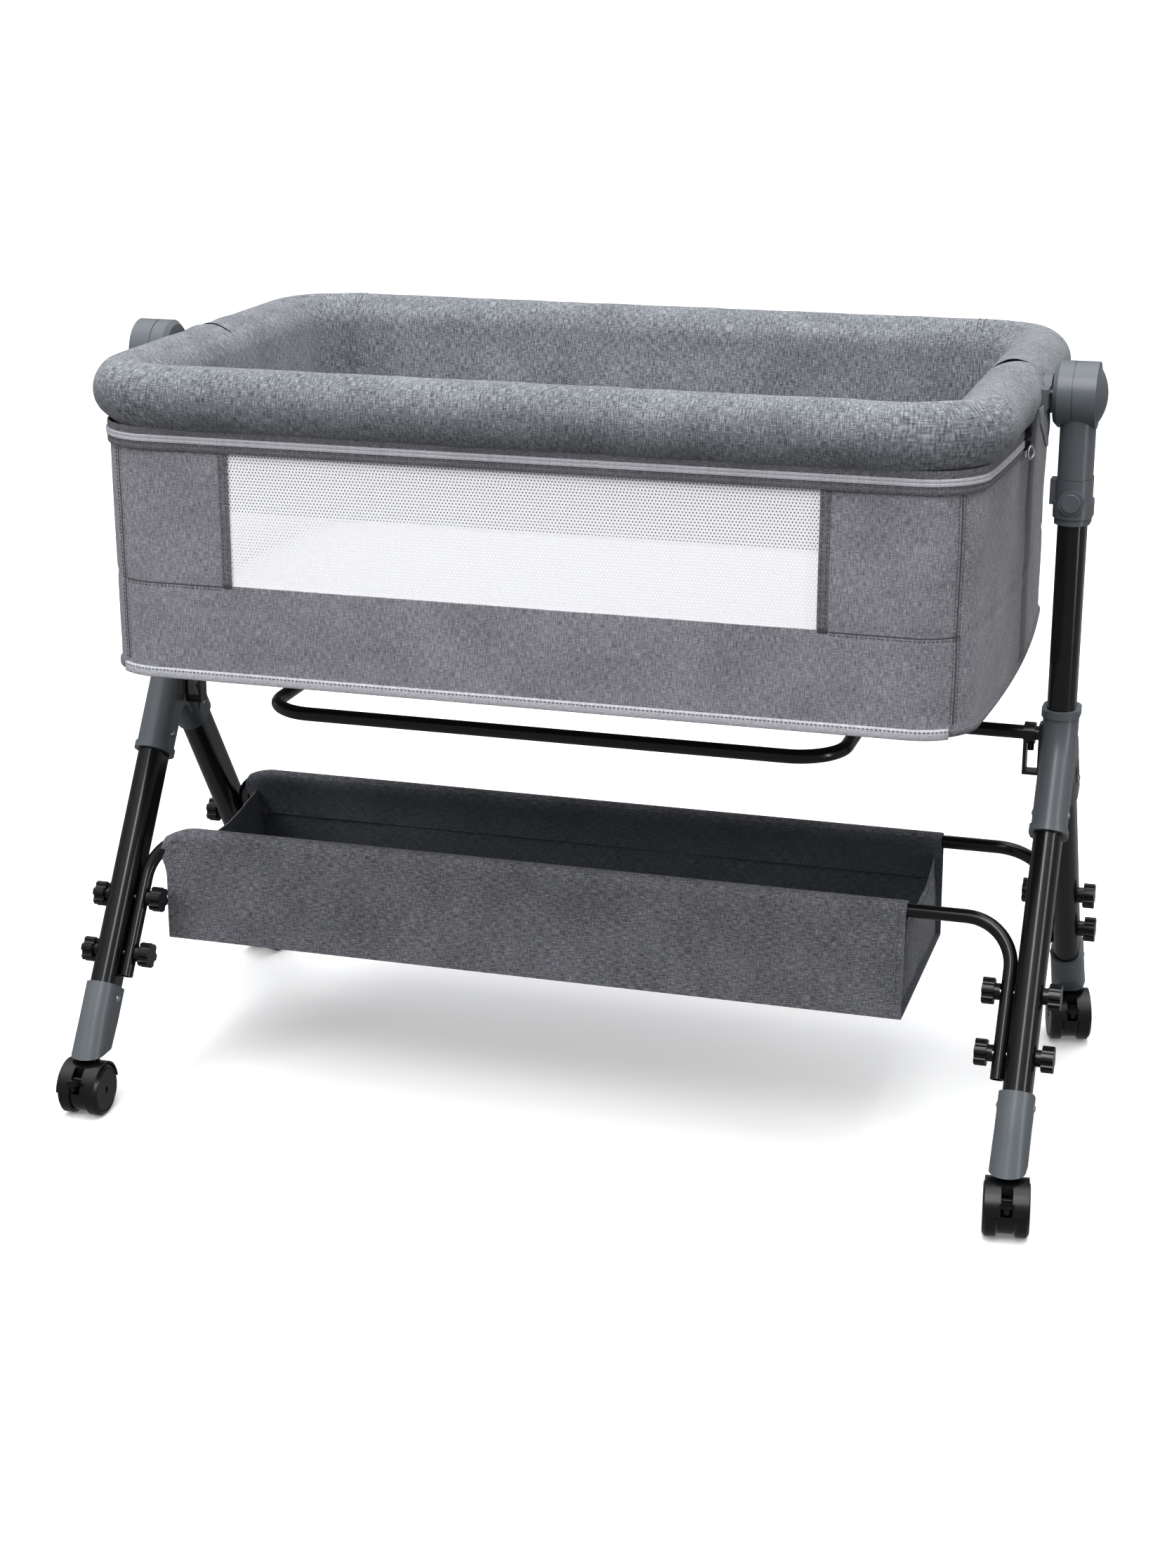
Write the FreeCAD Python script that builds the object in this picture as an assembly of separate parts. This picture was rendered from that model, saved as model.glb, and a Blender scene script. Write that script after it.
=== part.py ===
"""Bedside sleeper crib: a fabric bassinet carried between two A-frame ends on casters.

Frame: millimetres, +X along the crib to its right end, +Y to its back, +Z up.
The origin lies on the floor under the middle of the crib.
Each end is modelled once, on the right (+X), and mirrored to the left.
"""
import FreeCAD
import Part
import math
import os

V = FreeCAD.Vector
X_AXIS = V(1, 0, 0)
Y_AXIS = V(0, 1, 0)
Z_AXIS = V(0, 0, 1)

# ---------------------------------------------------------------- driving dimensions
# Clearances
SEAT = 0.1             # gap between two fixed pieces that plug into each other
RUNNING = 0.05         # radial gap of a hinge pin or a wheel bore
SOFT_GAP = 0.3         # gap between a soft piece and what it lies on
SLIDE_GAP = 0.25       # gap all round the telescopic tube

# Stand
FRAME_X = 436.0        # middle plane of each A-frame end
LEG_TUBE_W = 25.0      # oval leg tube, across the crib's length
LEG_TUBE_D = 38.0      # oval leg tube, along the crib's depth
LEG_WALL = 1.5
LEG_TILT = 33.7        # degrees from upright
APEX_Z = 383.0         # where the leg axes meet the upright's axis
BEND_R = 90.0          # bend of the main tube, on its axis
MAIN_TOP_Z = 612.0
LEG_FOOT_Z = 88.0      # lower end of the leg tubes, on their axis
REAR_LEG_TOP_Z = 344.0

# A-joint moulding
YOKE_WALL = 3.0
YOKE_RUN = 0.5         # straight stretch of the sleeve above the bend
YOKE_FRONT_Z = 305.0   # mouth of the front sleeve, on the leg axis
YOKE_REAR_Z = 318.0    # mouth of the rear socket, on the leg axis
YOKE_LIP = 1.6
YOKE_LIP_H = 7.0
WEB_T = 23.0
WEB_DROP = 16.0        # the web reaches this far below the rear tube's end
WEB_ARCH_R = 12.0
SLOT_L = 26.0          # moulded recess in each flank of the rear sleeve
SLOT_W = 5.0
SLOT_DEPTH = 1.2
SLOT_PITCH = 9.0
SLOT_COUNT = 3
RIVET_R = 5.0          # radius of a rivet's dome
RIVET_PROUD = 1.8
SLEEVE_RIVET_UP = 17.0  # height of a rivet above its sleeve's mouth
FOOT_RIVET_DOWN = 9.0

# Foot covers and casters
FOOT_COVER_TOP_Z = 110.0
FOOT_COVER_BASE_Z = 57.0
FOOT_KNEE_DROP = 4.0   # the boot turns upright this far below the leg tube's end
FOOT_BASE_W = 32.0
FOOT_BASE_D = 46.0
FOOT_BASE_BACK = 3.0   # the base's middle lies behind the caster stem
FOOT_Y = 222.0         # caster stem
STEM_R = 5.5
STEM_TOP_Z = 74.0
WHEEL_R = 25.0
WHEEL_W = 12.5
WHEEL_GROOVE_R = 20.5  # ring groove round each wheel's disc
WHEEL_GROOVE = 0.9
WHEEL_INNER_X = 7.6    # inner face of each wheel, from the caster's middle
TRAIL = 10.0           # wheel centre ahead of the stem
HOOD_W = 14.0
HOOD_R = 22.0
FENDER_T = 1.6
FENDER_GAP = 0.9
FENDER_W = 38.0
FENDER_LOW_Z = 4.0     # the fender's edge, above the wheel centre
AXLE_R = 3.0
LEVER_W = 9.4
LEVER_PIVOT_R = 1.6
LEVER_Y = -17.0        # lever pivot, from the wheel centre
LEVER_Z = 13.0
LEVER_REACH = 13.0
SWIVELS = {"front_left": 0.0, "front_right": 8.0, "rear_left": -12.0, "rear_right": 15.0}

# Cross bar and under bar
BAR_R = 6.35
BAR_WALL = 1.2
CROSS_BAR_Z = 384.0
UNDER_BAR_X = 266.0
UNDER_BAR_Y = 172.0
UNDER_BAR_BEND_R = 45.0
UNDER_BAR_TAIL = 16.0
CLAMP_W = 20.0
BRACKET_T = 3.0
BRACKET_W = 14.0
BRACKET_LOW_Z = 346.0
BRACKET_SCREW_R = 2.8
BRACKET_SCREW_GAP = 0.6  # from the strap to the screw
BRACKET_SCREW_L = 8.0
CLAMP_WALL = 3.4
CLAMP_RING_X = 404.0
CLAMP_RING_L = 10.0

# Storage basket
BASKET_BAR_Z = 238.0   # height of the bars' long runs
BASKET_BAR_LOW_Z = 119.0
BASKET_BEND_R = 44.0
BASKET_X0 = -398.0     # past the start of the bars' bends
BASKET_X1 = 320.0
BASKET_BASE_Z = 136.0
BASKET_BASE_Y = 112.0
BASKET_T = 3.0
BASKET_SLEEVE_R = 9.4
BASKET_END_DIP = 22.0
KNOB_Z = (184.0, 138.0)
KNOB_R = 12.0
KNOB_HEAD_T = 10.5
KNOB_NECK_R = 7.5
KNOB_NECK_T = 5.0
KNOB_LOBES = 6
KNOB_NOTCH_R = 3.4
BOLT_R = 3.0
BOLT_GRIP = 8.0        # length of bolt inside each knob

# Height adjusters
INNER_TUBE_WALL = 1.5
INNER_TUBE_LOW_Z = 436.0
INNER_TUBE_TOP_Z = 664.0
COLLAR_LOW_Z = 580.0
COLLAR_TOP_Z = 620.0
COLLAR_WALL = 3.2
HEIGHT_BUTTON_Z = 601.0
HEIGHT_BUTTON_R = 8.5
BUTTON_BOSS_R = 11.0
BUTTON_BOSS_T = 3.0
BUTTON_T = 4.4
BUTTON_PROUD = 1.8

# Hubs
HUB_Z = 692.0
HUB_R = 29.0
HUB_X0 = 415.0
HUB_X1 = 452.0
HUB_SEAM_X = 432.0
HUB_CHAMFER = 4.0
HUB_PIN_R = 5.0
HUB_PIN_X0 = 393.0
CAP_R = 25.0
CAP_RECESS = 6.0
CAP_BASE_T = 2.6
CAP_DOME = 8.0

# Top rails
RAIL_X = 380.0
RAIL_Y = 235.0
RAIL_BEND_R = 60.0
RAIL_TUBE_R = 9.5
RAIL_TUBE_WALL = 1.2
PAD_R = 28.0
KNUCKLE_R = 17.0
KNUCKLE_T = 8.0
KNUCKLE_H = 9.0        # half height of a knuckle's arm
FRONT_SOCKET_Y = 17.7  # mouth wall of the front tube sockets, from the hub axis
REAR_SOCKET_Y = 29.2
SOCKET_L = 20.0
SOCKET_R = 12.6
SOCKET_WALL = 3.0
REAR_PAD_Y = 14.0      # front end of the rear pad, from the hub axis
FRONT_KNUCKLE_X = 404.6
REAR_KNUCKLE_X = 395.6

# Bassinet body
BODY_X = 388.0
BODY_Y = 245.0
BODY_CORNER_R = 52.0
BODY_CROWN = 8.0       # how far the ends belly out
BODY_BASE_Z = 448.0
BODY_TOP_Z = 654.0
WALL_HUNG_Z = 668.0    # the fixed wall reaches up to the rear pad behind this
WALL_HUNG_Y = 34.0     # distance from the hub axis
FABRIC_T = 3.0
FLOOR_T = 3.0
SPLIT_Y = 6.0          # front edge of the fixed half of the body
WINDOW_X = 261.0
WINDOW_Z0 = 530.0
WINDOW_Z1 = 648.0
MESH_T = 1.0
BOARD_T = 5.0
MATTRESS_INSET = 16.0
MATTRESS_T = 30.0
MATTRESS_CROWN = 4.0
MATTRESS_EDGE = 8.0
MATTRESS_FLAT = 42.0   # inset of the crown's flat top
BINDING_T = 5.0
BINDING_Z0 = 443.0
BINDING_Z1 = 452.0
ZIP_BAND_H = 14.0
ZIP_BAND_T = 2.4
ZIP_START_Y = 38.0
SLIDER_W = 9.0
SLIDER_H = 12.0

# ---------------------------------------------------------------- worked-out places
TILT = math.radians(LEG_TILT)
YOKE_TOP_Z = APEX_Z + BEND_R * math.tan(TILT / 2) + YOKE_RUN
YOKE_W = LEG_TUBE_W + 2 * YOKE_WALL
YOKE_D = LEG_TUBE_D + 2 * YOKE_WALL
YOKE_INNER_X = FRAME_X - YOKE_W / 2
LEG_INNER_X = FRAME_X - LEG_TUBE_W / 2
LEG_OUTER_X = FRAME_X + LEG_TUBE_W / 2
BASKET_BAR_X = LEG_INNER_X - BAR_R - SEAT
INNER_W = LEG_TUBE_W - 2 * LEG_WALL - 2 * SLIDE_GAP
INNER_D = LEG_TUBE_D - 2 * LEG_WALL - 2 * SLIDE_GAP
COLLAR_W = LEG_TUBE_W + 2 * COLLAR_WALL
COLLAR_D = LEG_TUBE_D + 2 * COLLAR_WALL
UNDER_BAR_Z = CROSS_BAR_Z + 2 * BAR_R + SEAT
PAD_BORE_R = RAIL_TUBE_R + SOFT_GAP
BOARD_Z0 = BODY_BASE_Z + FLOOR_T + SOFT_GAP
MATTRESS_Z0 = BOARD_Z0 + BOARD_T + SOFT_GAP
WHEEL_Z = WHEEL_R


def leg_y(z):
    """Distance of a leg's axis from the crib's middle plane at height z."""
    return (APEX_Z - z) * math.tan(TILT)


# ---------------------------------------------------------------- shape helpers
def save(name, shape):
    """Write one sub-part, in the crib's frame."""
    shape.exportStep("parts/" + name + ".step")
    return shape


def group(shapes):
    return Part.makeCompound(shapes)


def mirrored_x(shape):
    return shape.mirror(V(0, 0, 0), X_AXIS)


def mirrored_y(shape):
    return shape.mirror(V(0, 0, 0), Y_AXIS)


def rod(radius, start, end):
    """A round bar between two points."""
    axis = end - start
    return Part.makeCylinder(radius, axis.Length, start, axis)


def block(x0, x1, y0, y1, z0, z1):
    return Part.makeBox(x1 - x0, y1 - y0, z1 - z0, V(x0, y0, z0))


def closed_wire(*edges):
    return Part.Wire(Part.__sortEdges__(list(edges)))


def rounded_rect(half_x, half_y, radius, crown=0.0):
    """Outline in the XY plane with round corners; its short ends may belly out by crown."""
    x, y, r = half_x, half_y, radius
    s = r * math.sqrt(0.5)
    edges = []
    for sx, sy in ((1, -1), (1, 1), (-1, 1), (-1, -1)):
        cx, cy = sx * (x - r), sy * (y - r)
        edges.append(Part.Arc(V(sx * x, cy, 0), V(cx + sx * s, cy + sy * s, 0), V(cx, sy * y, 0)))
    ends = []
    for sx in (1, -1):
        low, high = V(sx * x, -(y - r), 0), V(sx * x, y - r, 0)
        if crown > 0:
            ends.append(Part.Arc(low, V(sx * (x + crown), 0, 0), high))
        else:
            ends.append(Part.LineSegment(low, high))
    sides = [Part.LineSegment(V(-(x - r), sy * y, 0), V(x - r, sy * y, 0)) for sy in (-1, 1)]
    return closed_wire(*[e.toShape() for e in edges + ends + sides])


def oval_wire(width, depth):
    """Flat-sided oval in the XY plane, longer along Y."""
    r = width / 2
    h = depth / 2 - r
    return closed_wire(
        Part.LineSegment(V(r, -h, 0), V(r, h, 0)).toShape(),
        Part.Arc(V(r, h, 0), V(0, h + r, 0), V(-r, h, 0)).toShape(),
        Part.LineSegment(V(-r, h, 0), V(-r, -h, 0)).toShape(),
        Part.Arc(V(-r, -h, 0), V(0, -h - r, 0), V(r, -h, 0)).toShape())


def oval_bar(width, depth, z0, z1):
    """Upright oval bar round the Z axis."""
    bar = Part.Face(oval_wire(width, depth)).extrude(V(0, 0, z1 - z0))
    bar.translate(V(0, 0, z0))
    return bar


def on_leg(shape, side=-1):
    """Turn a shape made round the Z axis onto a leg: local z = 0 is the apex, z < 0 runs down."""
    placed = shape.copy()
    placed.rotate(V(0, 0, 0), X_AXIS, side * LEG_TILT)
    placed.translate(V(0, 0, APEX_Z))
    return placed


def down_leg(z):
    """Local z on a leg for the point of its axis at height z."""
    return -(APEX_Z - z) / math.cos(TILT)


def ring_prism(wire, inner_wire, z0, z1):
    """Wall between two outlines, from z0 to z1."""
    outer = Part.Face(wire).extrude(V(0, 0, z1 - z0))
    inner = Part.Face(inner_wire).extrude(V(0, 0, z1 - z0))
    wall = outer.cut(inner)
    wall.translate(V(0, 0, z0))
    return wall


def bent_path(corners, radius):
    """A path of straight runs with a round bend at each inner corner."""
    edges = []
    start = corners[0]
    for before, corner, after in zip(corners, corners[1:], corners[2:]):
        u = (before - corner).normalize()
        w = (after - corner).normalize()
        half = u.getAngle(w) / 2
        reach = radius / math.tan(half)
        middle = (u + w).normalize()
        a = corner + u * reach
        b = corner + w * reach
        m = corner + middle * (radius / math.sin(half) - radius)
        edges.append(Part.LineSegment(start, a).toShape())
        edges.append(Part.Arc(a, m, b).toShape())
        start = b
    edges.append(Part.LineSegment(start, corners[-1]).toShape())
    return Part.Wire(edges)


def swept(path, section):
    """Solid made by carrying a section, placed at the path's start, along the path."""
    return path.makePipe(Part.Face(section))


def round_bar(corners, bend, radius, bore=0.0):
    """A bent round bar or tube."""
    path = bent_path(corners, bend)
    direction = corners[1] - corners[0]

    def bar(r):
        return swept(path, Part.Wire([Part.makeCircle(r, corners[0], direction)]))

    if bore > 0:
        return bar(radius).cut(bar(bore))
    return bar(radius)


# ---------------------------------------------------------------- stand: tubes
def main_path(low_z, high_z):
    """Axis of the main tube: up the front leg, round the bend and up the upright."""
    return bent_path([V(0, -leg_y(low_z), low_z), V(0, 0, APEX_Z), V(0, 0, high_z)], BEND_R)


def along_main(width, depth, low_z, high_z):
    """An oval section carried along the main tube's axis."""
    section = oval_wire(width, depth)
    section.rotate(V(0, 0, 0), X_AXIS, -LEG_TILT)
    section.translate(V(0, -leg_y(low_z), low_z))
    return swept(main_path(low_z, high_z), section)


def bolt_holes(radius, x0, x1, side):
    """Cross holes for the through bolts, on a front (-1) or rear (1) leg."""
    return [rod(radius, V(x0, side * leg_y(z), z), V(x1, side * leg_y(z), z)) for z in KNOB_Z]


def main_tube():
    outer = along_main(LEG_TUBE_W, LEG_TUBE_D, LEG_FOOT_Z, MAIN_TOP_Z)
    inner = along_main(LEG_TUBE_W - 2 * LEG_WALL, LEG_TUBE_D - 2 * LEG_WALL, LEG_FOOT_Z, MAIN_TOP_Z)
    tube = outer.cut(inner)
    for hole in bolt_holes(BOLT_R + SEAT, -LEG_TUBE_W, LEG_TUBE_W, -1):
        tube = tube.cut(hole)
    return tube


def rear_leg():
    low, high = down_leg(LEG_FOOT_Z), down_leg(REAR_LEG_TOP_Z)
    tube = oval_bar(LEG_TUBE_W, LEG_TUBE_D, low, high).cut(
        oval_bar(LEG_TUBE_W - 2 * LEG_WALL, LEG_TUBE_D - 2 * LEG_WALL, low, high))
    tube = on_leg(tube, 1)
    for hole in bolt_holes(BOLT_R + SEAT, -LEG_TUBE_W, LEG_TUBE_W, 1):
        tube = tube.cut(hole)
    return tube


# ---------------------------------------------------------------- stand: A-joint
def yoke_slots():
    """Rows of shallow round-ended recesses in both flanks of the rear sleeve."""
    slots = []
    high = down_leg(REAR_LEG_TOP_Z) + SLOT_L / 2
    for side in (-1, 1):
        x = side * (YOKE_W / 2 - SLOT_DEPTH)
        for i in range(SLOT_COUNT):
            y = (i - (SLOT_COUNT - 1) / 2) * SLOT_PITCH
            r, run = SLOT_W / 2, SLOT_L - SLOT_W
            low, top = V(x, y, high - run), V(x, y, high)
            out = V(side * SLOT_W, 0, 0)
            ends = [rod(r, low, low + out), rod(r, top, top + out)]
            middle = block(min(x, x + out.x), max(x, x + out.x), y - r, y + r, low.z, top.z)
            slots.append(on_leg(middle.fuse(ends), 1))
    return slots


def yoke():
    """Moulded joint: a sleeve over the main tube's bend, a rear socket and a web between them."""
    body = along_main(YOKE_W, YOKE_D, YOKE_FRONT_Z, YOKE_TOP_Z)
    top_lip = oval_bar(YOKE_W + 2 * YOKE_LIP, YOKE_D + 2 * YOKE_LIP, YOKE_TOP_Z - YOKE_LIP_H, YOKE_TOP_Z)
    front_lip = on_leg(oval_bar(YOKE_W + 2 * YOKE_LIP, YOKE_D + 2 * YOKE_LIP,
                                down_leg(YOKE_FRONT_Z), down_leg(YOKE_FRONT_Z) + YOKE_LIP_H))
    rear = on_leg(oval_bar(YOKE_W, YOKE_D, down_leg(YOKE_REAR_Z), -12), 1)
    web_low = REAR_LEG_TOP_Z - WEB_DROP
    web = Part.Face(Part.makePolygon([
        V(-WEB_T / 2, -leg_y(web_low), web_low), V(-WEB_T / 2, leg_y(web_low), web_low),
        V(-WEB_T / 2, 0, APEX_Z), V(-WEB_T / 2, -leg_y(web_low), web_low)])).extrude(V(WEB_T, 0, 0))
    arch = rod(WEB_ARCH_R, V(-WEB_T, 0, web_low), V(WEB_T, 0, web_low))
    web = web.cut(arch)
    shape = body.fuse([top_lip, front_lip, rear, web])
    bore = along_main(LEG_TUBE_W + 2 * SEAT, LEG_TUBE_D + 2 * SEAT, YOKE_FRONT_Z - 20, YOKE_TOP_Z + 20)
    socket = on_leg(oval_bar(LEG_TUBE_W + 2 * SEAT, LEG_TUBE_D + 2 * SEAT,
                             down_leg(YOKE_REAR_Z) - 20, down_leg(REAR_LEG_TOP_Z) + SEAT), 1)
    return shape.cut([bore, socket] + yoke_slots()).removeSplitter()


def rivet(x, y, z, outward):
    """Domed rivet head on a flat flank."""
    head = Part.makeSphere(RIVET_R, V(x - outward * (RIVET_R - RIVET_PROUD), y, z))
    x0, x1 = (x, x + RIVET_R) if outward > 0 else (x - RIVET_R, x)
    return head.common(block(x0, x1, y - RIVET_R, y + RIVET_R, z - RIVET_R, z + RIVET_R))


def right_rivets():
    """Rivets that pin the tubes in the joint moulding and the foot covers."""
    foot_z = FOOT_COVER_TOP_Z - FOOT_RIVET_DOWN
    places = [(-1, YOKE_FRONT_Z + SLEEVE_RIVET_UP), (1, YOKE_REAR_Z + SLEEVE_RIVET_UP), (-1, foot_z), (1, foot_z)]
    return [rivet(FRAME_X + outward * YOKE_W / 2, side * leg_y(z), z, outward)
            for outward in (-1, 1) for side, z in places]


# ---------------------------------------------------------------- stand: feet
def foot_cover():
    """Moulded boot: takes the inclined front leg and turns it onto the upright caster stem."""
    knee_z = LEG_FOOT_Z - FOOT_KNEE_DROP
    knee = oval_wire(YOKE_W, YOKE_D)
    knee.rotate(V(0, 0, 0), X_AXIS, -LEG_TILT)
    knee.translate(V(0, -leg_y(knee_z), knee_z))
    base = oval_wire(FOOT_BASE_W, FOOT_BASE_D)
    base.translate(V(0, -(FOOT_Y - FOOT_BASE_BACK), FOOT_COVER_BASE_Z))
    sleeve = on_leg(oval_bar(YOKE_W, YOKE_D, down_leg(knee_z), down_leg(FOOT_COVER_TOP_Z)))
    boot = sleeve.fuse(Part.makeLoft([base, knee], True, True))
    leg_bore = on_leg(oval_bar(LEG_TUBE_W + 2 * SEAT, LEG_TUBE_D + 2 * SEAT, down_leg(LEG_FOOT_Z) - SEAT, 0))
    stem_bore = rod(STEM_R + RUNNING, V(0, -FOOT_Y, FOOT_COVER_BASE_Z - 5), V(0, -FOOT_Y, STEM_TOP_Z + 1))
    return boot.cut([leg_bore, stem_bore]).removeSplitter()


# ---------------------------------------------------------------- casters
def wheel_pair():
    """Two dished wheels on one axle, turning about X at the wheel centre."""
    r, w, g = WHEEL_R, WHEEL_W, WHEEL_GROOVE_R
    profile = Part.makePolygon([
        V(0, AXLE_R + RUNNING, 0), V(0, r - 1.5, 0), V(1.5, r, 0), V(w - 2.5, r, 0), V(w, r - 3, 0),
        V(w, g + WHEEL_GROOVE, 0), V(w - WHEEL_GROOVE, g, 0), V(w, g - WHEEL_GROOVE, 0),
        V(w, AXLE_R + RUNNING, 0), V(0, AXLE_R + RUNNING, 0)])
    wheel = Part.Face(profile).revolve(V(0, 0, 0), X_AXIS, 360)
    wheel.translate(V(WHEEL_INNER_X, 0, 0))
    return group([wheel, mirrored_x(wheel)])


def caster_hood():
    """Hood between and over the wheels, with its stem; the axle is a separate pin in it."""
    half = HOOD_W / 2
    core = rod(HOOD_R, V(-half, 0, 0), V(half, 0, 0))
    fender_r = WHEEL_R + FENDER_GAP + FENDER_T
    fender = rod(fender_r, V(-FENDER_W / 2, 0, 0), V(FENDER_W / 2, 0, 0)).cut(
        rod(fender_r - FENDER_T, V(-FENDER_W, 0, 0), V(FENDER_W, 0, 0)))
    fender = fender.cut(block(-FENDER_W, FENDER_W, -40, 40, -40, FENDER_LOW_Z))
    rib = rod(fender_r - 0.4, V(-half, 0, 0), V(half, 0, 0)).cut(block(-30, 30, -40, 40, -40, FENDER_LOW_Z))
    boss_low = FOOT_COVER_BASE_Z - 1.0 - WHEEL_Z
    boss = rod(9.0, V(0, TRAIL, 10), V(0, TRAIL, boss_low)).cut(
        rod(HOOD_R, V(-30, 0, 0), V(-half, 0, 0))).cut(rod(HOOD_R, V(half, 0, 0), V(30, 0, 0)))
    wheels_room = [rod(WHEEL_R + FENDER_GAP, V(s * WHEEL_INNER_X - s * 0.5, 0, 0), V(s * 40, 0, 0))
                   for s in (-1, 1)]
    stem = rod(STEM_R, V(0, TRAIL, 20), V(0, TRAIL, STEM_TOP_Z - WHEEL_Z))
    shape = core.fuse([fender, rib, boss.cut(wheels_room), stem])
    slot = block(-LEVER_W / 2 - 0.4, LEVER_W / 2 + 0.4, -40, LEVER_Y + 6, LEVER_Z - 11, 26)
    pivots = rod(LEVER_PIVOT_R + RUNNING, V(-half, LEVER_Y, LEVER_Z), V(half, LEVER_Y, LEVER_Z))
    axle_bore = rod(AXLE_R + SEAT, V(-half, 0, 0), V(half, 0, 0))
    shape = shape.cut([slot, pivots, axle_bore]).removeSplitter()
    axle_end = WHEEL_INNER_X + WHEEL_W - 1.2
    axle = rod(AXLE_R, V(-axle_end, 0, 0), V(axle_end, 0, 0))
    return group([shape, axle])


def brake_lever():
    """Foot lever in the front slot of the hood, on two small trunnions."""
    half = LEVER_W / 2
    hub = rod(4.4, V(-half, LEVER_Y, LEVER_Z), V(half, LEVER_Y, LEVER_Z))
    arm = Part.Face(Part.makePolygon([
        V(-half, LEVER_Y - 1, LEVER_Z - 3.6), V(-half, LEVER_Y - LEVER_REACH, LEVER_Z + 1.5),
        V(-half, LEVER_Y - LEVER_REACH, LEVER_Z + 5.5), V(-half, LEVER_Y - 1, LEVER_Z + 3.6),
        V(-half, LEVER_Y - 1, LEVER_Z - 3.6)])).extrude(V(LEVER_W, 0, 0))
    pins = rod(LEVER_PIVOT_R, V(-HOOD_W / 2 + 0.3, LEVER_Y, LEVER_Z), V(HOOD_W / 2 - 0.3, LEVER_Y, LEVER_Z))
    return hub.fuse([arm, pins]).removeSplitter()


def at_caster(shape, corner):
    """Move a caster piece from the wheel centre to its corner, at its swivel angle."""
    placed = shape.copy()
    placed.translate(V(0, -TRAIL, WHEEL_Z))
    placed.rotate(V(0, 0, 0), Z_AXIS, SWIVELS[corner])
    side_x = -1 if corner.endswith("left") else 1
    side_y = -1 if corner.startswith("front") else 1
    placed.translate(V(side_x * FRAME_X, side_y * FOOT_Y, 0))
    return placed


# ---------------------------------------------------------------- cross bar and under bar
def cross_bar():
    end = YOKE_INNER_X - BRACKET_T - SEAT
    bar = rod(BAR_R, V(-end, 0, CROSS_BAR_Z), V(end, 0, CROSS_BAR_Z))
    return bar.cut(rod(BAR_R - BAR_WALL, V(-end, 0, CROSS_BAR_Z), V(end, 0, CROSS_BAR_Z)))


def cross_bar_bracket():
    """Right-hand bracket: a ring that grips the cross bar, on a strap bent to the joint moulding."""
    x1 = YOKE_INNER_X - SEAT
    half = BRACKET_W / 2
    ring_r = BAR_R + SEAT + CLAMP_WALL
    ring_x1 = CLAMP_RING_X + CLAMP_RING_L
    ring = rod(ring_r, V(CLAMP_RING_X, 0, CROSS_BAR_Z), V(ring_x1, 0, CROSS_BAR_Z))
    strap = block(CLAMP_RING_X, CLAMP_RING_X + BRACKET_T, -half, half, BRACKET_LOW_Z, CROSS_BAR_Z)
    foot = block(CLAMP_RING_X, x1, -half, half, BRACKET_LOW_Z, BRACKET_LOW_Z + BRACKET_T)
    plate = block(x1 - BRACKET_T, x1, -half, half, BRACKET_LOW_Z, CROSS_BAR_Z + ring_r)
    screw_x = CLAMP_RING_X + BRACKET_T + BRACKET_SCREW_GAP + BRACKET_SCREW_R
    screw_z = CROSS_BAR_Z - BAR_R - SEAT - CLAMP_WALL / 2
    screw = rod(BRACKET_SCREW_R, V(screw_x, 0, screw_z), V(screw_x, 0, screw_z - BRACKET_SCREW_L))
    end = YOKE_INNER_X - BRACKET_T - SEAT
    bore = rod(BAR_R + SEAT, V(CLAMP_RING_X - BRACKET_T, 0, CROSS_BAR_Z), V(end, 0, CROSS_BAR_Z))
    return ring.fuse([strap, foot, plate, screw]).cut(bore).removeSplitter()


def under_bar():
    """U-shaped bar below the bassinet, its arms lying on the cross bar."""
    corners = [V(UNDER_BAR_X, UNDER_BAR_TAIL, UNDER_BAR_Z), V(UNDER_BAR_X, -UNDER_BAR_Y, UNDER_BAR_Z),
               V(-UNDER_BAR_X, -UNDER_BAR_Y, UNDER_BAR_Z), V(-UNDER_BAR_X, UNDER_BAR_TAIL, UNDER_BAR_Z)]
    return round_bar(corners, UNDER_BAR_BEND_R, BAR_R, BAR_R - BAR_WALL)


def under_bar_clamp():
    """Right-hand saddle block that holds an arm of the under bar on the cross bar."""
    half = CLAMP_W / 2
    clamp = block(UNDER_BAR_X - half, UNDER_BAR_X + half, -half, half,
                  CROSS_BAR_Z - BAR_R - CLAMP_WALL, UNDER_BAR_Z + BAR_R + CLAMP_WALL)
    clamp = clamp.makeFillet(3.0, [e for e in clamp.Edges if abs(e.tangentAt(0).z) > 0.9])
    cross = rod(BAR_R + SEAT, V(UNDER_BAR_X - CLAMP_W, 0, CROSS_BAR_Z), V(UNDER_BAR_X + CLAMP_W, 0, CROSS_BAR_Z))
    arm = rod(BAR_R + SEAT, V(UNDER_BAR_X, -CLAMP_W, UNDER_BAR_Z), V(UNDER_BAR_X, CLAMP_W, UNDER_BAR_Z))
    return clamp.cut([cross, arm])


# ---------------------------------------------------------------- basket
def basket_bar():
    """Front bar: down the inner side of each front leg and across under the basket's hem."""
    high, low = down_leg(BASKET_BAR_Z), down_leg(BASKET_BAR_LOW_Z)
    x = BASKET_BAR_X
    corners = [V(x, 0, low), V(x, 0, high), V(-x, 0, high), V(-x, 0, low)]
    bar = on_leg(round_bar(corners, BASKET_BEND_R, BAR_R, BAR_R - BAR_WALL))
    for hole in bolt_holes(BOLT_R + SEAT, -FRAME_X, FRAME_X, -1):
        bar = bar.cut(hole)
    return bar


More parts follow.
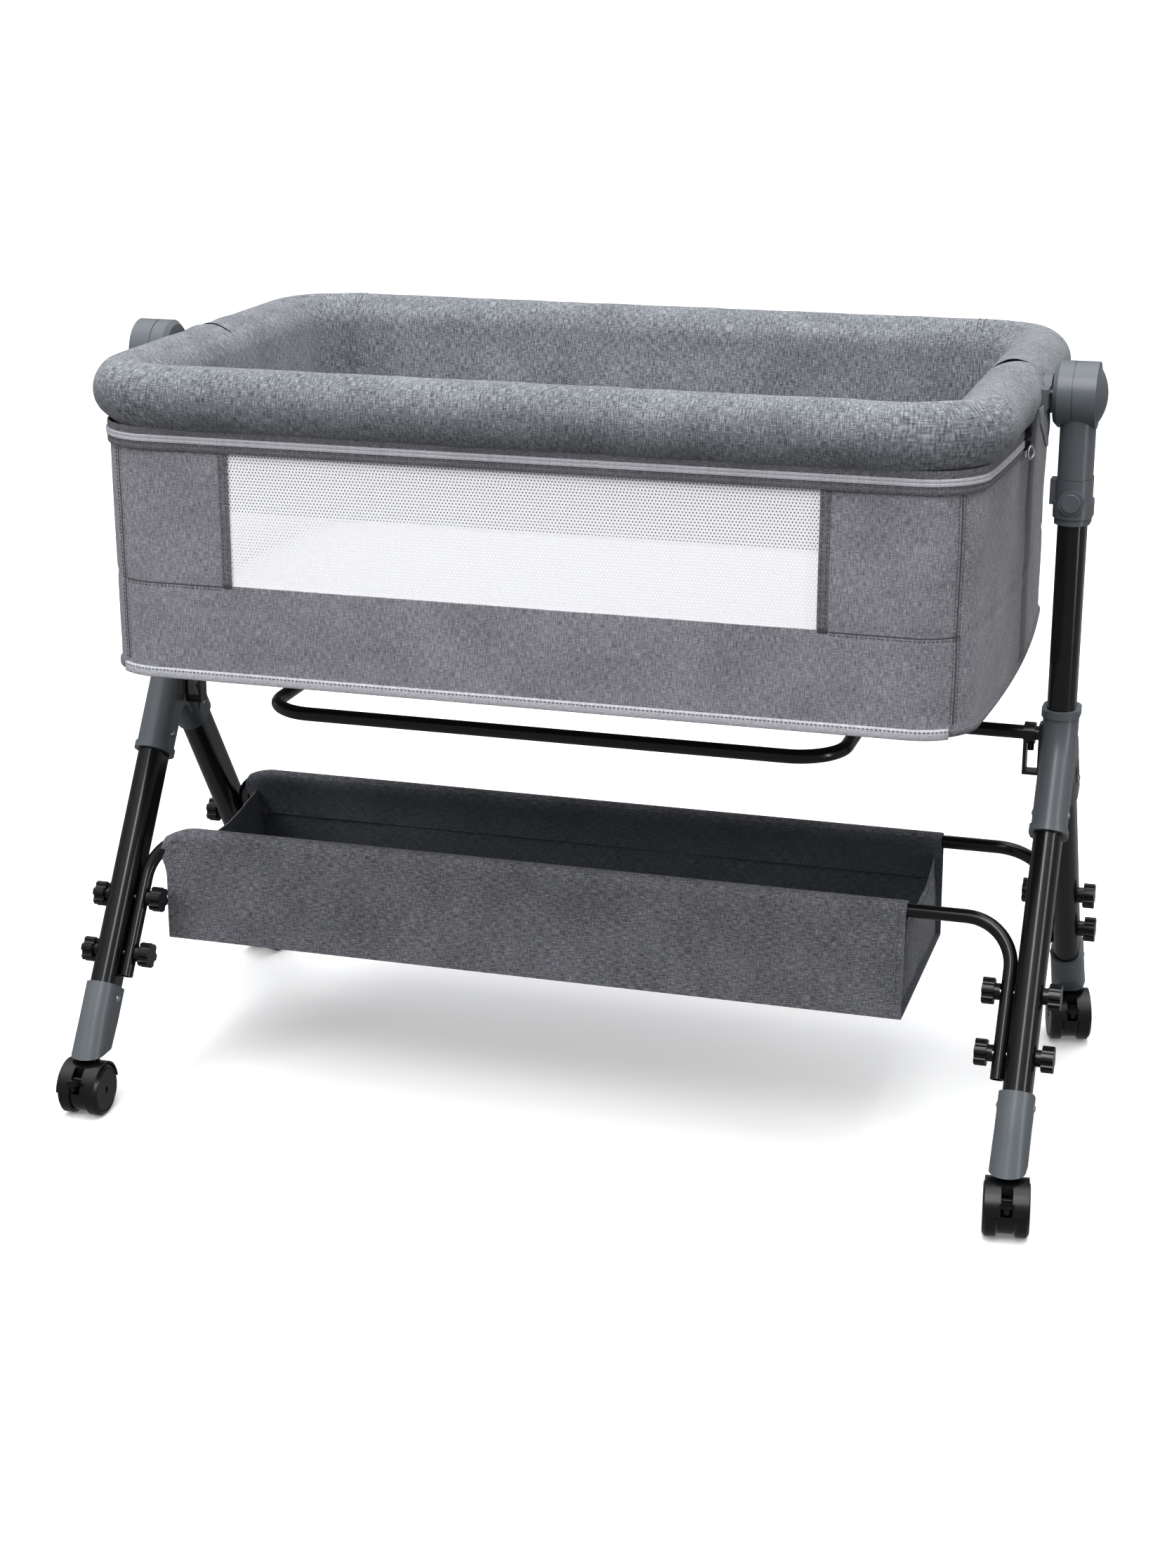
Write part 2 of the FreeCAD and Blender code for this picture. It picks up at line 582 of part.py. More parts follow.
def basket_sleeve(radius, x0, x1):
    """Round bar on the front bar's axis from x0, on the left bend, to x1 on the straight run."""
    high = down_leg(BASKET_BAR_Z)
    bend_x = -(BASKET_BAR_X - BASKET_BEND_R)
    turn = math.asin((bend_x - x0) / BASKET_BEND_R)

    def on_bend(angle):
        return V(bend_x - BASKET_BEND_R * math.sin(angle), 0, high - BASKET_BEND_R * (1 - math.cos(angle)))

    path = Part.Wire([Part.LineSegment(V(x1, 0, high), V(bend_x, 0, high)).toShape(),
                      Part.Arc(V(bend_x, 0, high), on_bend(turn / 2), on_bend(turn)).toShape()])
    return on_leg(swept(path, Part.Wire([Part.makeCircle(radius, V(x1, 0, high), X_AXIS)])))


def basket():
    """Fabric trough hung on the two bars by sewn sleeves, its ends dipped."""
    bar_y = leg_y(BASKET_BAR_Z)
    length = BASKET_X1 - BASKET_X0

    def trough(inset, top):
        y0, y1 = BASKET_BASE_Y - inset, bar_y + BASKET_T / 2 - inset
        z0 = BASKET_BASE_Z + inset
        points = [V(0, -y0, z0), V(0, y0, z0), V(0, y1, top), V(0, -y1, top)]
        return Part.Face(Part.makePolygon(points + points[:1])).extrude(V(length - 2 * inset, 0, 0))

    outer = trough(0.0, BASKET_BAR_Z)
    inner = trough(BASKET_T, BASKET_BAR_Z + 30)
    inner.translate(V(BASKET_T, 0, 0))
    shell = outer.cut(inner)
    dip_r = (bar_y ** 2 + BASKET_END_DIP ** 2) / (2 * BASKET_END_DIP)
    dip_z = BASKET_BAR_Z - BASKET_END_DIP + dip_r
    dip = rod(dip_r, V(-10, 0, dip_z), V(length + 10, 0, dip_z))
    inner_room = block(-10, length + 10, -(bar_y - 12), bar_y - 12, BASKET_BASE_Z + 10, BASKET_BAR_Z + 40)
    shell = shell.cut(dip.common(inner_room))
    shell.translate(V(BASKET_X0, 0, 0))
    sleeve = basket_sleeve(BASKET_SLEEVE_R, BASKET_X0, BASKET_X1)
    bore = basket_sleeve(BAR_R + SOFT_GAP, BASKET_X0 - BASKET_SLEEVE_R, BASKET_X1 + BASKET_SLEEVE_R)
    shape = shell.fuse([sleeve, mirrored_y(sleeve)]).cut([bore, mirrored_y(bore)])
    return max(shape.removeSplitter().Solids, key=lambda solid: solid.Volume)


def star_knob():
    """Six-lobed hand knob along +X from its neck face at the origin, with a blind bore."""
    neck = rod(KNOB_NECK_R, V(0, 0, 0), V(KNOB_NECK_T, 0, 0))
    head = rod(KNOB_R, V(KNOB_NECK_T, 0, 0), V(KNOB_NECK_T + KNOB_HEAD_T, 0, 0))
    notches = []
    for i in range(KNOB_LOBES):
        angle = 2 * math.pi * i / KNOB_LOBES
        y, z = (KNOB_R + 0.8) * math.cos(angle), (KNOB_R + 0.8) * math.sin(angle)
        notches.append(rod(KNOB_NOTCH_R, V(KNOB_NECK_T - 1, y, z), V(KNOB_NECK_T + KNOB_HEAD_T + 1, y, z)))
    bore = rod(BOLT_R + SEAT, V(-1, 0, 0), V(BOLT_GRIP + 0.5, 0, 0))
    return neck.fuse(head.cut(notches)).cut(bore).removeSplitter()


def right_knobs_and_bolts():
    """Through bolts of the right-hand legs with a knob at each end."""
    outer_x = LEG_OUTER_X + SEAT
    inner_x = BASKET_BAR_X - BAR_R - SEAT
    outer = star_knob()
    inner = mirrored_x(outer)
    knobs, bolts = [], []
    for side in (-1, 1):
        for z in KNOB_Z:
            y = side * leg_y(z)
            for knob, x in ((outer, outer_x), (inner, inner_x)):
                placed = knob.copy()
                placed.translate(V(x, y, z))
                knobs.append(placed)
            bolts.append(rod(BOLT_R, V(inner_x - BOLT_GRIP, y, z), V(outer_x + BOLT_GRIP, y, z)))
    return knobs, bolts


# ---------------------------------------------------------------- height adjusters
def at_frame(shape):
    placed = shape.copy()
    placed.translate(V(FRAME_X, 0, 0))
    return placed


def inner_tube():
    """Telescopic tube fixed in the hub's stem, sliding in the main tube."""
    outer = oval_bar(INNER_W, INNER_D, INNER_TUBE_LOW_Z, INNER_TUBE_TOP_Z)
    w, d = INNER_W - 2 * INNER_TUBE_WALL, INNER_D - 2 * INNER_TUBE_WALL
    return outer.cut(oval_bar(w, d, INNER_TUBE_LOW_Z, INNER_TUBE_TOP_Z))


def height_collar():
    """Collar on the main tube's mouth: guides the inner tube and holds the height button."""
    body = oval_bar(COLLAR_W, COLLAR_D, COLLAR_LOW_Z, COLLAR_TOP_Z)
    step = oval_bar(COLLAR_W + 2 * YOKE_LIP, COLLAR_D + 2 * YOKE_LIP, COLLAR_TOP_Z - 34, COLLAR_TOP_Z - 20)
    boss = rod(BUTTON_BOSS_R, V(0, -10, HEIGHT_BUTTON_Z), V(0, -(COLLAR_D / 2 + BUTTON_BOSS_T), HEIGHT_BUTTON_Z))
    latch = block(-COLLAR_W / 2 - 5, 0, -8, 8, COLLAR_TOP_Z - 24, COLLAR_TOP_Z - 2)
    shape = body.fuse([step, boss, latch])
    tube = oval_bar(LEG_TUBE_W + 2 * SEAT, LEG_TUBE_D + 2 * SEAT, COLLAR_LOW_Z - 5, MAIN_TOP_Z + SEAT)
    guide = oval_bar(INNER_W + 2 * SLIDE_GAP, INNER_D + 2 * SLIDE_GAP, MAIN_TOP_Z - 5, COLLAR_TOP_Z + 5)
    pocket = rod(HEIGHT_BUTTON_R + RUNNING, V(0, -(LEG_TUBE_D / 2 + 0.4), HEIGHT_BUTTON_Z),
                 V(0, -COLLAR_D, HEIGHT_BUTTON_Z))
    return shape.cut([tube, guide, pocket]).removeSplitter()


def height_button():
    """Push button in the collar's boss; it travels along +Y."""
    front = -(COLLAR_D / 2 + BUTTON_BOSS_T + BUTTON_PROUD)
    button = rod(HEIGHT_BUTTON_R, V(0, front, HEIGHT_BUTTON_Z), V(0, front + BUTTON_T, HEIGHT_BUTTON_Z))
    rim = [e for e in button.Edges if abs(e.CenterOfMass.y - front) < 0.1 and e.Length > HEIGHT_BUTTON_R]
    return button.makeFillet(0.9, rim)


def hub():
    """Round hub drum in two halves with a seam, on an oval stem that holds the inner tube."""
    drum = rod(HUB_R, V(HUB_X0, 0, HUB_Z), V(HUB_X1, 0, HUB_Z))
    inner_rim = [e for e in drum.Edges if abs(e.CenterOfMass.x - HUB_X0) < 0.1 and e.Length > HUB_R]
    drum = drum.makeChamfer(HUB_CHAMFER, inner_rim)
    seam = rod(HUB_R + 2, V(HUB_SEAM_X - 0.6, 0, HUB_Z), V(HUB_SEAM_X + 0.6, 0, HUB_Z)).cut(
        rod(HUB_R - 0.9, V(HUB_SEAM_X - 1, 0, HUB_Z), V(HUB_SEAM_X + 1, 0, HUB_Z)))
    stem_low = COLLAR_TOP_Z + SOFT_GAP
    stem = at_frame(oval_bar(COLLAR_W - 1.5, COLLAR_D - 1.5, stem_low, HUB_Z))
    recess = rod(CAP_R + RUNNING, V(HUB_X1 - CAP_RECESS, 0, HUB_Z), V(HUB_X1 + 5, 0, HUB_Z))
    tube = at_frame(oval_bar(INNER_W + 2 * SEAT, INNER_D + 2 * SEAT, stem_low - 5, INNER_TUBE_TOP_Z + SEAT))
    pin = rod(HUB_PIN_R + SEAT, V(HUB_X0 - 5, 0, HUB_Z), V(HUB_X1 - CAP_RECESS - 3 + SEAT, 0, HUB_Z))
    return drum.cut(seam).fuse(stem).cut([recess, tube, pin]).removeSplitter()


def hub_button():
    """Domed release button in the outer face of the hub; it travels inwards along X."""
    x0 = HUB_X1 - CAP_BASE_T
    plate = rod(CAP_R, V(x0, 0, HUB_Z), V(HUB_X1, 0, HUB_Z))
    sphere_r = (CAP_R ** 2 + CAP_DOME ** 2) / (2 * CAP_DOME)
    dome = Part.makeSphere(sphere_r, V(HUB_X1 + CAP_DOME - sphere_r, 0, HUB_Z)).common(
        rod(CAP_R, V(HUB_X1, 0, HUB_Z), V(HUB_X1 + CAP_DOME + 1, 0, HUB_Z)))
    return plate.fuse(dome).removeSplitter()


def hub_pin():
    return rod(HUB_PIN_R, V(HUB_PIN_X0, 0, HUB_Z), V(HUB_X1 - CAP_RECESS - 3, 0, HUB_Z))


# ---------------------------------------------------------------- top rails
def rail_corners(start):
    """Front U path from the hub axis on the right round the front to the left."""
    return [V(RAIL_X, -start, HUB_Z), V(RAIL_X, -RAIL_Y, HUB_Z), V(-RAIL_X, -RAIL_Y, HUB_Z),
            V(-RAIL_X, -start, HUB_Z)]


def rail_tube(socket_y):
    """Front rail tube between the sockets; the rear one is made the same way and mirrored."""
    start = socket_y + SOCKET_WALL + SEAT
    return round_bar(rail_corners(start), RAIL_BEND_R, RAIL_TUBE_R, RAIL_TUBE_R - RAIL_TUBE_WALL)


def knuckle_blank(x0, socket_y, grow=0.0):
    """Right front knuckle without its bores: a disc on the hub pin, an arm and a tube socket."""
    x1 = x0 + KNUCKLE_T + grow
    reach = socket_y + SOCKET_L + grow
    z0, z1 = HUB_Z - KNUCKLE_H - grow, HUB_Z + KNUCKLE_H + grow
    disc = rod(KNUCKLE_R + grow, V(x0 - grow, 0, HUB_Z), V(x1, 0, HUB_Z))
    arm = block(x0 - grow, x1, -reach, 0, z0, z1)
    bridge = block(RAIL_X, x1, -reach, -socket_y + grow, z0, z1)
    socket = rod(SOCKET_R + grow, V(RAIL_X, -socket_y + grow, HUB_Z), V(RAIL_X, -reach, HUB_Z))
    return disc.fuse([arm, bridge, socket])


def knuckle(x0, socket_y):
    shape = knuckle_blank(x0, socket_y)
    pin = rod(HUB_PIN_R + RUNNING, V(x0 - 5, 0, HUB_Z), V(x0 + KNUCKLE_T + 5, 0, HUB_Z))
    tube = rod(RAIL_TUBE_R + SEAT, V(RAIL_X, -socket_y - SOCKET_WALL, HUB_Z),
               V(RAIL_X, -socket_y - SOCKET_L - 5, HUB_Z))
    return shape.cut([pin, tube]).removeSplitter()


def pad_end(x, radius):
    """Ball round the hub axis, where the front pad closes over its knuckle."""
    return Part.makeSphere(radius, V(x, 0, HUB_Z))


def front_pad():
    """Padded sleeve of the front rail; its closed ends turn on the hub axis."""
    pad = round_bar(rail_corners(0), RAIL_BEND_R, PAD_R).fuse([pad_end(RAIL_X, PAD_R), pad_end(-RAIL_X, PAD_R)])
    bore = round_bar(rail_corners(FRONT_SOCKET_Y - 5), RAIL_BEND_R, PAD_BORE_R)
    room = knuckle_blank(FRONT_KNUCKLE_X, FRONT_SOCKET_Y, SOFT_GAP)
    slot = block(HUB_PIN_X0 - SOFT_GAP, HUB_X0, -(FRONT_SOCKET_Y - SOFT_GAP), PAD_R + 2,
                 HUB_Z - PAD_R - 2, HUB_Z + PAD_R + 2)
    return pad.cut([bore, room, slot, mirrored_x(room), mirrored_x(slot)])


def rear_pad():
    """Padded sleeve of the rear rail, hollowed at its ends round the front pad's closed ends."""
    pad = round_bar(rail_corners(REAR_PAD_Y), RAIL_BEND_R, PAD_R)
    bore = round_bar(rail_corners(REAR_PAD_Y - 5), RAIL_BEND_R, PAD_BORE_R)
    room = knuckle_blank(REAR_KNUCKLE_X, REAR_SOCKET_Y, SOFT_GAP)
    hollow = pad_end(RAIL_X, PAD_R + 2 * SOFT_GAP)
    disc = rod(KNUCKLE_R + SOFT_GAP, V(FRONT_KNUCKLE_X - SOFT_GAP, 0, HUB_Z), V(HUB_X0, 0, HUB_Z))
    rooms = [room, hollow, disc]
    return mirrored_y(pad.cut([bore] + rooms + [mirrored_x(r) for r in rooms]))


# ---------------------------------------------------------------- bassinet body
def body_outline(inset=0.0):
    return rounded_rect(BODY_X - inset, BODY_Y - inset, BODY_CORNER_R - inset, BODY_CROWN)


def body_wall(z0, z1, inset, thickness):
    return ring_prism(body_outline(inset), body_outline(inset + thickness), z0, z1)


def half_space(front):
    """Box that keeps the fixed rear half of the body or the front half that folds."""
    reach = 2 * BODY_Y
    if front:
        return block(-2 * BODY_X, 2 * BODY_X, -reach, SPLIT_Y - SOFT_GAP, 0, 2 * HUB_Z)
    return block(-2 * BODY_X, 2 * BODY_X, SPLIT_Y, reach, 0, 2 * HUB_Z)


def window_hole(side):
    y0, y1 = (-BODY_Y - 10, -BODY_Y + 20) if side < 0 else (BODY_Y - 20, BODY_Y + 10)
    return block(-WINDOW_X, WINDOW_X, y0, y1, WINDOW_Z0, WINDOW_Z1)


def body_shell():
    """Fixed half of the fabric body: back and rear half of the ends, with the fabric floor."""
    wall = body_wall(BODY_BASE_Z, BODY_TOP_Z, 0.0, FABRIC_T).common(half_space(False))
    hung = body_wall(BODY_TOP_Z, WALL_HUNG_Z, 0.0, FABRIC_T).common(
        block(-2 * BODY_X, 2 * BODY_X, WALL_HUNG_Y, 2 * BODY_Y, 0, WALL_HUNG_Z))
    rail = mirrored_y(round_bar(rail_corners(REAR_PAD_Y), RAIL_BEND_R, PAD_R + SOFT_GAP))
    wall = wall.fuse(hung.cut(rail))
    floor = Part.Face(body_outline(0.0)).extrude(V(0, 0, FLOOR_T))
    floor.translate(V(0, 0, BODY_BASE_Z))
    return wall.fuse(floor).cut(window_hole(1)).removeSplitter()


def front_panel():
    """Folding half of the fabric body: front and front half of the ends, with its window."""
    z0 = BODY_BASE_Z + FLOOR_T + SOFT_GAP
    wall = body_wall(z0, BODY_TOP_Z, 0.0, FABRIC_T).common(half_space(True))
    return wall.cut(window_hole(-1))


def window_mesh(side):
    """Net in a window, in the middle of the fabric's thickness."""
    y = side * (BODY_Y - FABRIC_T / 2)
    g = SOFT_GAP
    return block(-WINDOW_X + g, WINDOW_X - g, y - MESH_T / 2, y + MESH_T / 2, WINDOW_Z0 + g, WINDOW_Z1 - g)


def base_board():
    inset = FABRIC_T + SOFT_GAP
    board = Part.Face(body_outline(inset)).extrude(V(0, 0, BOARD_T))
    board.translate(V(0, 0, BOARD_Z0))
    return board


def mattress():
    """Thin pad with rolled edges and a shallow crown."""
    def section(inset, z):
        wire = rounded_rect(BODY_X - MATTRESS_INSET - inset, BODY_Y - MATTRESS_INSET - inset,
                            BODY_CORNER_R + 10 - inset)
        wire.translate(V(0, 0, z))
        return wire
    z0, z1 = MATTRESS_Z0, MATTRESS_Z0 + MATTRESS_T
    return Part.makeLoft([
        section(MATTRESS_EDGE * 0.6, z0), section(0.6, z0 + MATTRESS_EDGE * 0.6), section(0, z0 + MATTRESS_T / 2),
        section(0.6, z1 - MATTRESS_EDGE), section(MATTRESS_EDGE, z1),
        section(MATTRESS_FLAT, z1 + MATTRESS_CROWN)],
        True, True)


def bottom_binding():
    """Sewn band round the foot of the body."""
    band = ring_prism(body_outline(-BINDING_T - SOFT_GAP), body_outline(-SOFT_GAP), BINDING_Z0, BINDING_Z1)
    return band


def zipper():
    """Band of the open-ended zip under the front rail's pad, with its slider."""
    z1 = BODY_TOP_Z + SOFT_GAP + ZIP_BAND_H
    path_wall = body_wall(z1 - ZIP_BAND_H, z1, -ZIP_BAND_T, ZIP_BAND_T)
    keep = block(-2 * BODY_X, 2 * BODY_X, -2 * BODY_Y, -ZIP_START_Y, 0, 2 * HUB_Z)
    pad = round_bar(rail_corners(0), RAIL_BEND_R, PAD_R + SOFT_GAP)
    band = path_wall.common(keep).cut(pad)
    x = BODY_X + BODY_CROWN + ZIP_BAND_T
    y = -ZIP_START_Y - SLIDER_W - 4
    slider = block(x - 0.6, x + 2.6, y, y + SLIDER_W, z1 - ZIP_BAND_H - 2, z1 - ZIP_BAND_H - 2 + SLIDER_H)
    return group([band, slider])


# ---------------------------------------------------------------- build
def pair(name, shape):
    """Save a right-hand piece and its left-hand mirror image."""
    save("right_" + name, shape)
    save("left_" + name, mirrored_x(shape))


def build():
    os.makedirs("parts", exist_ok=True)

    pair("main_tube", at_frame(main_tube()))
    pair("rear_leg_tube", at_frame(rear_leg()))
    pair("yoke", at_frame(yoke()))
    heads = right_rivets()
    save("rivets", group(heads + [mirrored_x(h) for h in heads]))

    front_cover = at_frame(foot_cover())
    pair("front_foot_cover", front_cover)
    pair("rear_foot_cover", mirrored_y(front_cover))

    hood, wheels, lever = caster_hood(), wheel_pair(), brake_lever()
    for corner in SWIVELS:
        save(corner + "_caster_hood", at_caster(hood, corner))
        save(corner + "_caster_wheels", at_caster(wheels, corner))
        save(corner + "_brake_lever", at_caster(lever, corner))

    save("cross_bar", cross_bar())
    bracket = cross_bar_bracket()
    save("cross_bar_brackets", group([bracket, mirrored_x(bracket)]))
    save("under_bar", under_bar())
    clamp = under_bar_clamp()
    save("under_bar_clamps", group([clamp, mirrored_x(clamp)]))

    bar = basket_bar()
    save("basket_front_bar", bar)
    save("basket_rear_bar", mirrored_y(bar))
    save("storage_basket", basket())
    knobs, bolts = right_knobs_and_bolts()
    save("star_knobs", group(knobs + [mirrored_x(k) for k in knobs]))
    save("through_bolts", group(bolts + [mirrored_x(b) for b in bolts]))

    pair("height_collar", at_frame(height_collar()))
    pair("height_button", at_frame(height_button()))
    pair("inner_tube", at_frame(inner_tube()))
    pair("hub", hub())
    pair("hub_button", hub_button())
    pin = hub_pin()
    save("hub_pins", group([pin, mirrored_x(pin)]))

    save("front_rail_tube", rail_tube(FRONT_SOCKET_Y))
    save("rear_rail_tube", mirrored_y(rail_tube(REAR_SOCKET_Y)))
    front_knuckle = knuckle(FRONT_KNUCKLE_X, FRONT_SOCKET_Y)
    rear_knuckle = mirrored_y(knuckle(REAR_KNUCKLE_X, REAR_SOCKET_Y))
    save("front_rail_knuckles", group([front_knuckle, mirrored_x(front_knuckle)]))
    save("rear_rail_knuckles", group([rear_knuckle, mirrored_x(rear_knuckle)]))
    save("front_rail_pad", front_pad())
    save("rear_rail_pad", rear_pad())

    save("body_shell", body_shell())
    save("rear_mesh", window_mesh(1))
    save("front_panel", front_panel())
    save("front_mesh", window_mesh(-1))
    save("base_board", base_board())
    save("mattress", mattress())
    save("bottom_binding", bottom_binding())
    save("zipper", zipper())


build()
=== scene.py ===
"""The looks of a bedside sleeper crib: a soft bassinet with a padded rail and net windows, carried
between two A-frame ends on casters, with a storage basket between the legs.

Metres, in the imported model's frame: +X to the crib's right end, +Y to its back, +Z up.
"""
import math

import bmesh
import bpy
from mathutils import Matrix, Vector, noise
from mathutils.bvhtree import BVHTree


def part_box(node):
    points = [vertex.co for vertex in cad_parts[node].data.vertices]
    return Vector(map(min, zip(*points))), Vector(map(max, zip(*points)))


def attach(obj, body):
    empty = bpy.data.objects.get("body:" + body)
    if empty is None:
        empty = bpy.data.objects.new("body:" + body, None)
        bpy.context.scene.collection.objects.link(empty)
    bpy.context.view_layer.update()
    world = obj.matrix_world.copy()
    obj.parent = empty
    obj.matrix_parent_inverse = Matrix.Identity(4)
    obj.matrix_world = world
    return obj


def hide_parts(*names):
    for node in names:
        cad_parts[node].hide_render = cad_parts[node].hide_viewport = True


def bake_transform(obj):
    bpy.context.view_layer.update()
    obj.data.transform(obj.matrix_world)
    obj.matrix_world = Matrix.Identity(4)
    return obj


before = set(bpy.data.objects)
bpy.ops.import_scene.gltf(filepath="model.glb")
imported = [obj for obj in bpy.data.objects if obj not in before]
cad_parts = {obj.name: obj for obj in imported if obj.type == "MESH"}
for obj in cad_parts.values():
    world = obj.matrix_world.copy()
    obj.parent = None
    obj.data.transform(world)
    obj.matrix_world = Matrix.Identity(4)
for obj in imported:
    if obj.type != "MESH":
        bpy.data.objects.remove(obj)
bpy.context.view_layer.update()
MM = 0.001
scene = bpy.context.scene


# ---------------------------------------------------------------- the photographer's view
# A product picture taken from the front left of centre, a little above the rail, with a
# portrait lens.  The crib fills the width of the frame and stands on a white sweep.
PICTURE_H = 2233               # pixels, the picture's long side
VIEW_AZIMUTH = 16.57           # degrees round from the crib's front
VIEW_ELEVATION = 18.13
VIEW_DISTANCE = 2.553
VIEW_TARGET = Vector((-0.0155, 0.0, 0.2953))
FOCAL_PIXELS = 3797.6


def linked(name, data):
    """A new object in the scene."""
    item = bpy.data.objects.new(name, data)
    scene.collection.objects.link(item)
    return item


def stand(item, azimuth, elevation, distance, target):
    """Stands an item off from a target, at an azimuth from the crib's front, and turns it to it."""
    a, e = math.radians(azimuth), math.radians(elevation)
    place = target + distance * Vector((math.sin(a) * math.cos(e), -math.cos(a) * math.cos(e), math.sin(e)))
    item.location = place
    item.rotation_euler = (target - place).to_track_quat("-Z", "Y").to_euler()


camera = linked("camera", bpy.data.cameras.new("camera"))
camera.data.lens = FOCAL_PIXELS * camera.data.sensor_width / PICTURE_H
camera.data.clip_end = 100.0
stand(camera, VIEW_AZIMUTH, VIEW_ELEVATION, VIEW_DISTANCE, VIEW_TARGET)
scene.camera = camera
scene.view_settings.view_transform = "Standard"


# ---------------------------------------------------------------- studio floor and light
# A matt white floor, kept from throwing light back up as a cut-out product picture has it, under
# a soft top light that fades towards the horizon.  Three softboxes, hidden from the gloss, light
# the cloth, and two narrow strips draw the bright streaks on the tubes.
FLOOR_SIZE = 160.0
FLOOR_GLOW = 0.15
CYCLORAMA_R = 25.0             # seen only by the camera, so that low views have no horizon
TOP_LIGHT = 2.2
TOP_FALL = 4.0                 # the power by which the top light fades
HORIZON_LIGHT = 0.25
LIT_MIDDLE = Vector((0, 0, 0.4))
WHITE = (1.0, 1.0, 1.0, 1.0)
SOFTBOXES = (                  # azimuth, elevation, distance m, width m, height m, power W, mirrored
    (5.0, 84.0, 4.0, 3.2, 3.2, 150.0, False),
    (-35.0, 28.0, 3.4, 1.4, 1.7, 37.0, False),
    (74.0, 12.0, 2.8, 0.22, 2.2, 15.0, True),
    (10.0, 50.0, 3.0, 0.5, 1.8, 26.0, True),
    (178.0, 35.0, 3.4, 1.8, 0.5, 12.0, False))


def linear(colour):
    """A hex colour as the linear values that a shader takes."""
    values = [int(colour[i:i + 2], 16) / 255 for i in (1, 3, 5)]
    return tuple(v / 12.92 if v <= 0.04045 else ((v + 0.055) / 1.055) ** 2.4 for v in values) + (1.0,)


def add(tree, kind, settings=None, sockets=None):
    """Adds a node with its settings; a socket is given a value or linked to another's output."""
    node = tree.nodes.new(kind)
    for key, value in (settings or {}).items():
        setattr(node, key, value)
    for key, value in (sockets or {}).items():
        if isinstance(value, bpy.types.NodeSocket):
            tree.links.new(value, node.inputs[key])
        else:
            node.inputs[key].default_value = value
    return node


def calc(operation, a, b=0.0, c=0.0):
    """One step of arithmetic on an output and up to two more outputs or values."""
    return add(a.id_data, "ShaderNodeMath", {"operation": operation}, {0: a, 1: b, 2: c}).outputs[0]


def new_material(name, values=None):
    """A material and its main shader, some of whose values are set."""
    material = bpy.data.materials.new(name)
    material.use_nodes = True
    shader = material.node_tree.nodes["Principled BSDF"]
    for key, value in (values or {}).items():
        shader.inputs[key].default_value = value
    return material, shader


floor_mesh = bpy.data.meshes.new("studio_floor")
half = FLOOR_SIZE / 2
floor_corners = [(-half, -half, 0), (half, -half, 0), (half, half, 0), (-half, half, 0)]
floor_mesh.from_pydata(floor_corners, [], [(0, 1, 2, 3)])
floor_mesh.materials.append(new_material("white_background_paper", {
    "Base Color": WHITE, "Emission Color": WHITE, "Emission Strength": FLOOR_GLOW, "Roughness": 0.95,
    "Specular IOR Level": 0.0})[0])
studio_floor = linked("studio_floor", floor_mesh)
studio_floor.visible_diffuse = False
studio_floor.visible_glossy = False

cyclorama_mesh = bpy.data.meshes.new("studio_cyclorama")
work = bmesh.new()
bmesh.ops.create_uvsphere(work, u_segments=48, v_segments=24, radius=CYCLORAMA_R)
bmesh.ops.reverse_faces(work, faces=work.faces)
work.to_mesh(cyclorama_mesh)
work.free()
cyclorama_mesh.materials.append(new_material("white_background_cloth", {
    "Base Color": linear("#000000"), "Emission Color": WHITE, "Emission Strength": 1.0,
    "Specular IOR Level": 0.0})[0])
studio_cyclorama = linked("studio_cyclorama", cyclorama_mesh)
for ray in ("diffuse", "glossy", "transmission", "volume_scatter", "shadow"):
    setattr(studio_cyclorama, "visible_" + ray, False)

world = bpy.data.worlds.new("white_tent")
world.use_nodes = True
tree = world.node_tree
aim = add(tree, "ShaderNodeSeparateXYZ", None, {0: add(tree, "ShaderNodeTexCoord").outputs["Generated"]})
rise = calc("POWER", calc("MAXIMUM", aim.outputs[2]), TOP_FALL)
glow = calc("MULTIPLY_ADD", rise, TOP_LIGHT, HORIZON_LIGHT)
tree.nodes["Background"].inputs["Color"].default_value = (0.97, 0.98, 1.0, 1.0)
tree.links.new(glow, tree.nodes["Background"].inputs["Strength"])
scene.world = world

for i, (azimuth, elevation, distance, width, height, power, mirrored) in enumerate(SOFTBOXES):
    light = bpy.data.lights.new(f"softbox_{i}", "AREA")
    light.shape = "RECTANGLE"
    light.size = width
    light.size_y = height
    light.energy = power
    lamp = linked(light.name, light)
    lamp.visible_glossy = mirrored
    stand(lamp, azimuth, elevation, distance, LIT_MIDDLE)


# ---------------------------------------------------------------- leg tubes and bars
# Drawn steel tube, oval in the legs and round in the bars, bent cold and powder-coated black.
# The coat is glossy with a faint orange peel, so the light lies along it in long soft streaks.
POWDER_PEEL = 2.4 * MM


def both_ends(*names):
    """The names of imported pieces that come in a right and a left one."""
    return [side + n for n in names for side in ("right_", "left_")]


def dress(names, material):
    """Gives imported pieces, whose shape is right as it is, their real finish."""
    for name in names:
        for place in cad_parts[name].material_slots:
            place.material = material


def object_place(shader):
    return add(shader.id_data, "ShaderNodeTexCoord").outputs["Object"]


def speckle(place, scale, detail=2.0, roughness=0.5):
    """Noise at a place, from 0 to 1."""
    return add(place.id_data, "ShaderNodeTexNoise", None, {
        "Vector": place, "Scale": scale, "Detail": detail, "Roughness": roughness}).outputs[0]


def tint(shader, share, low, high):
    """Colours a shader between two hex colours."""
    mix = add(shader.id_data, "ShaderNodeMix", {"data_type": "RGBA"}, {
        0: share, 6: linear(low), 7: linear(high)})
    shader.id_data.links.new(mix.outputs[2], shader.inputs["Base Color"])


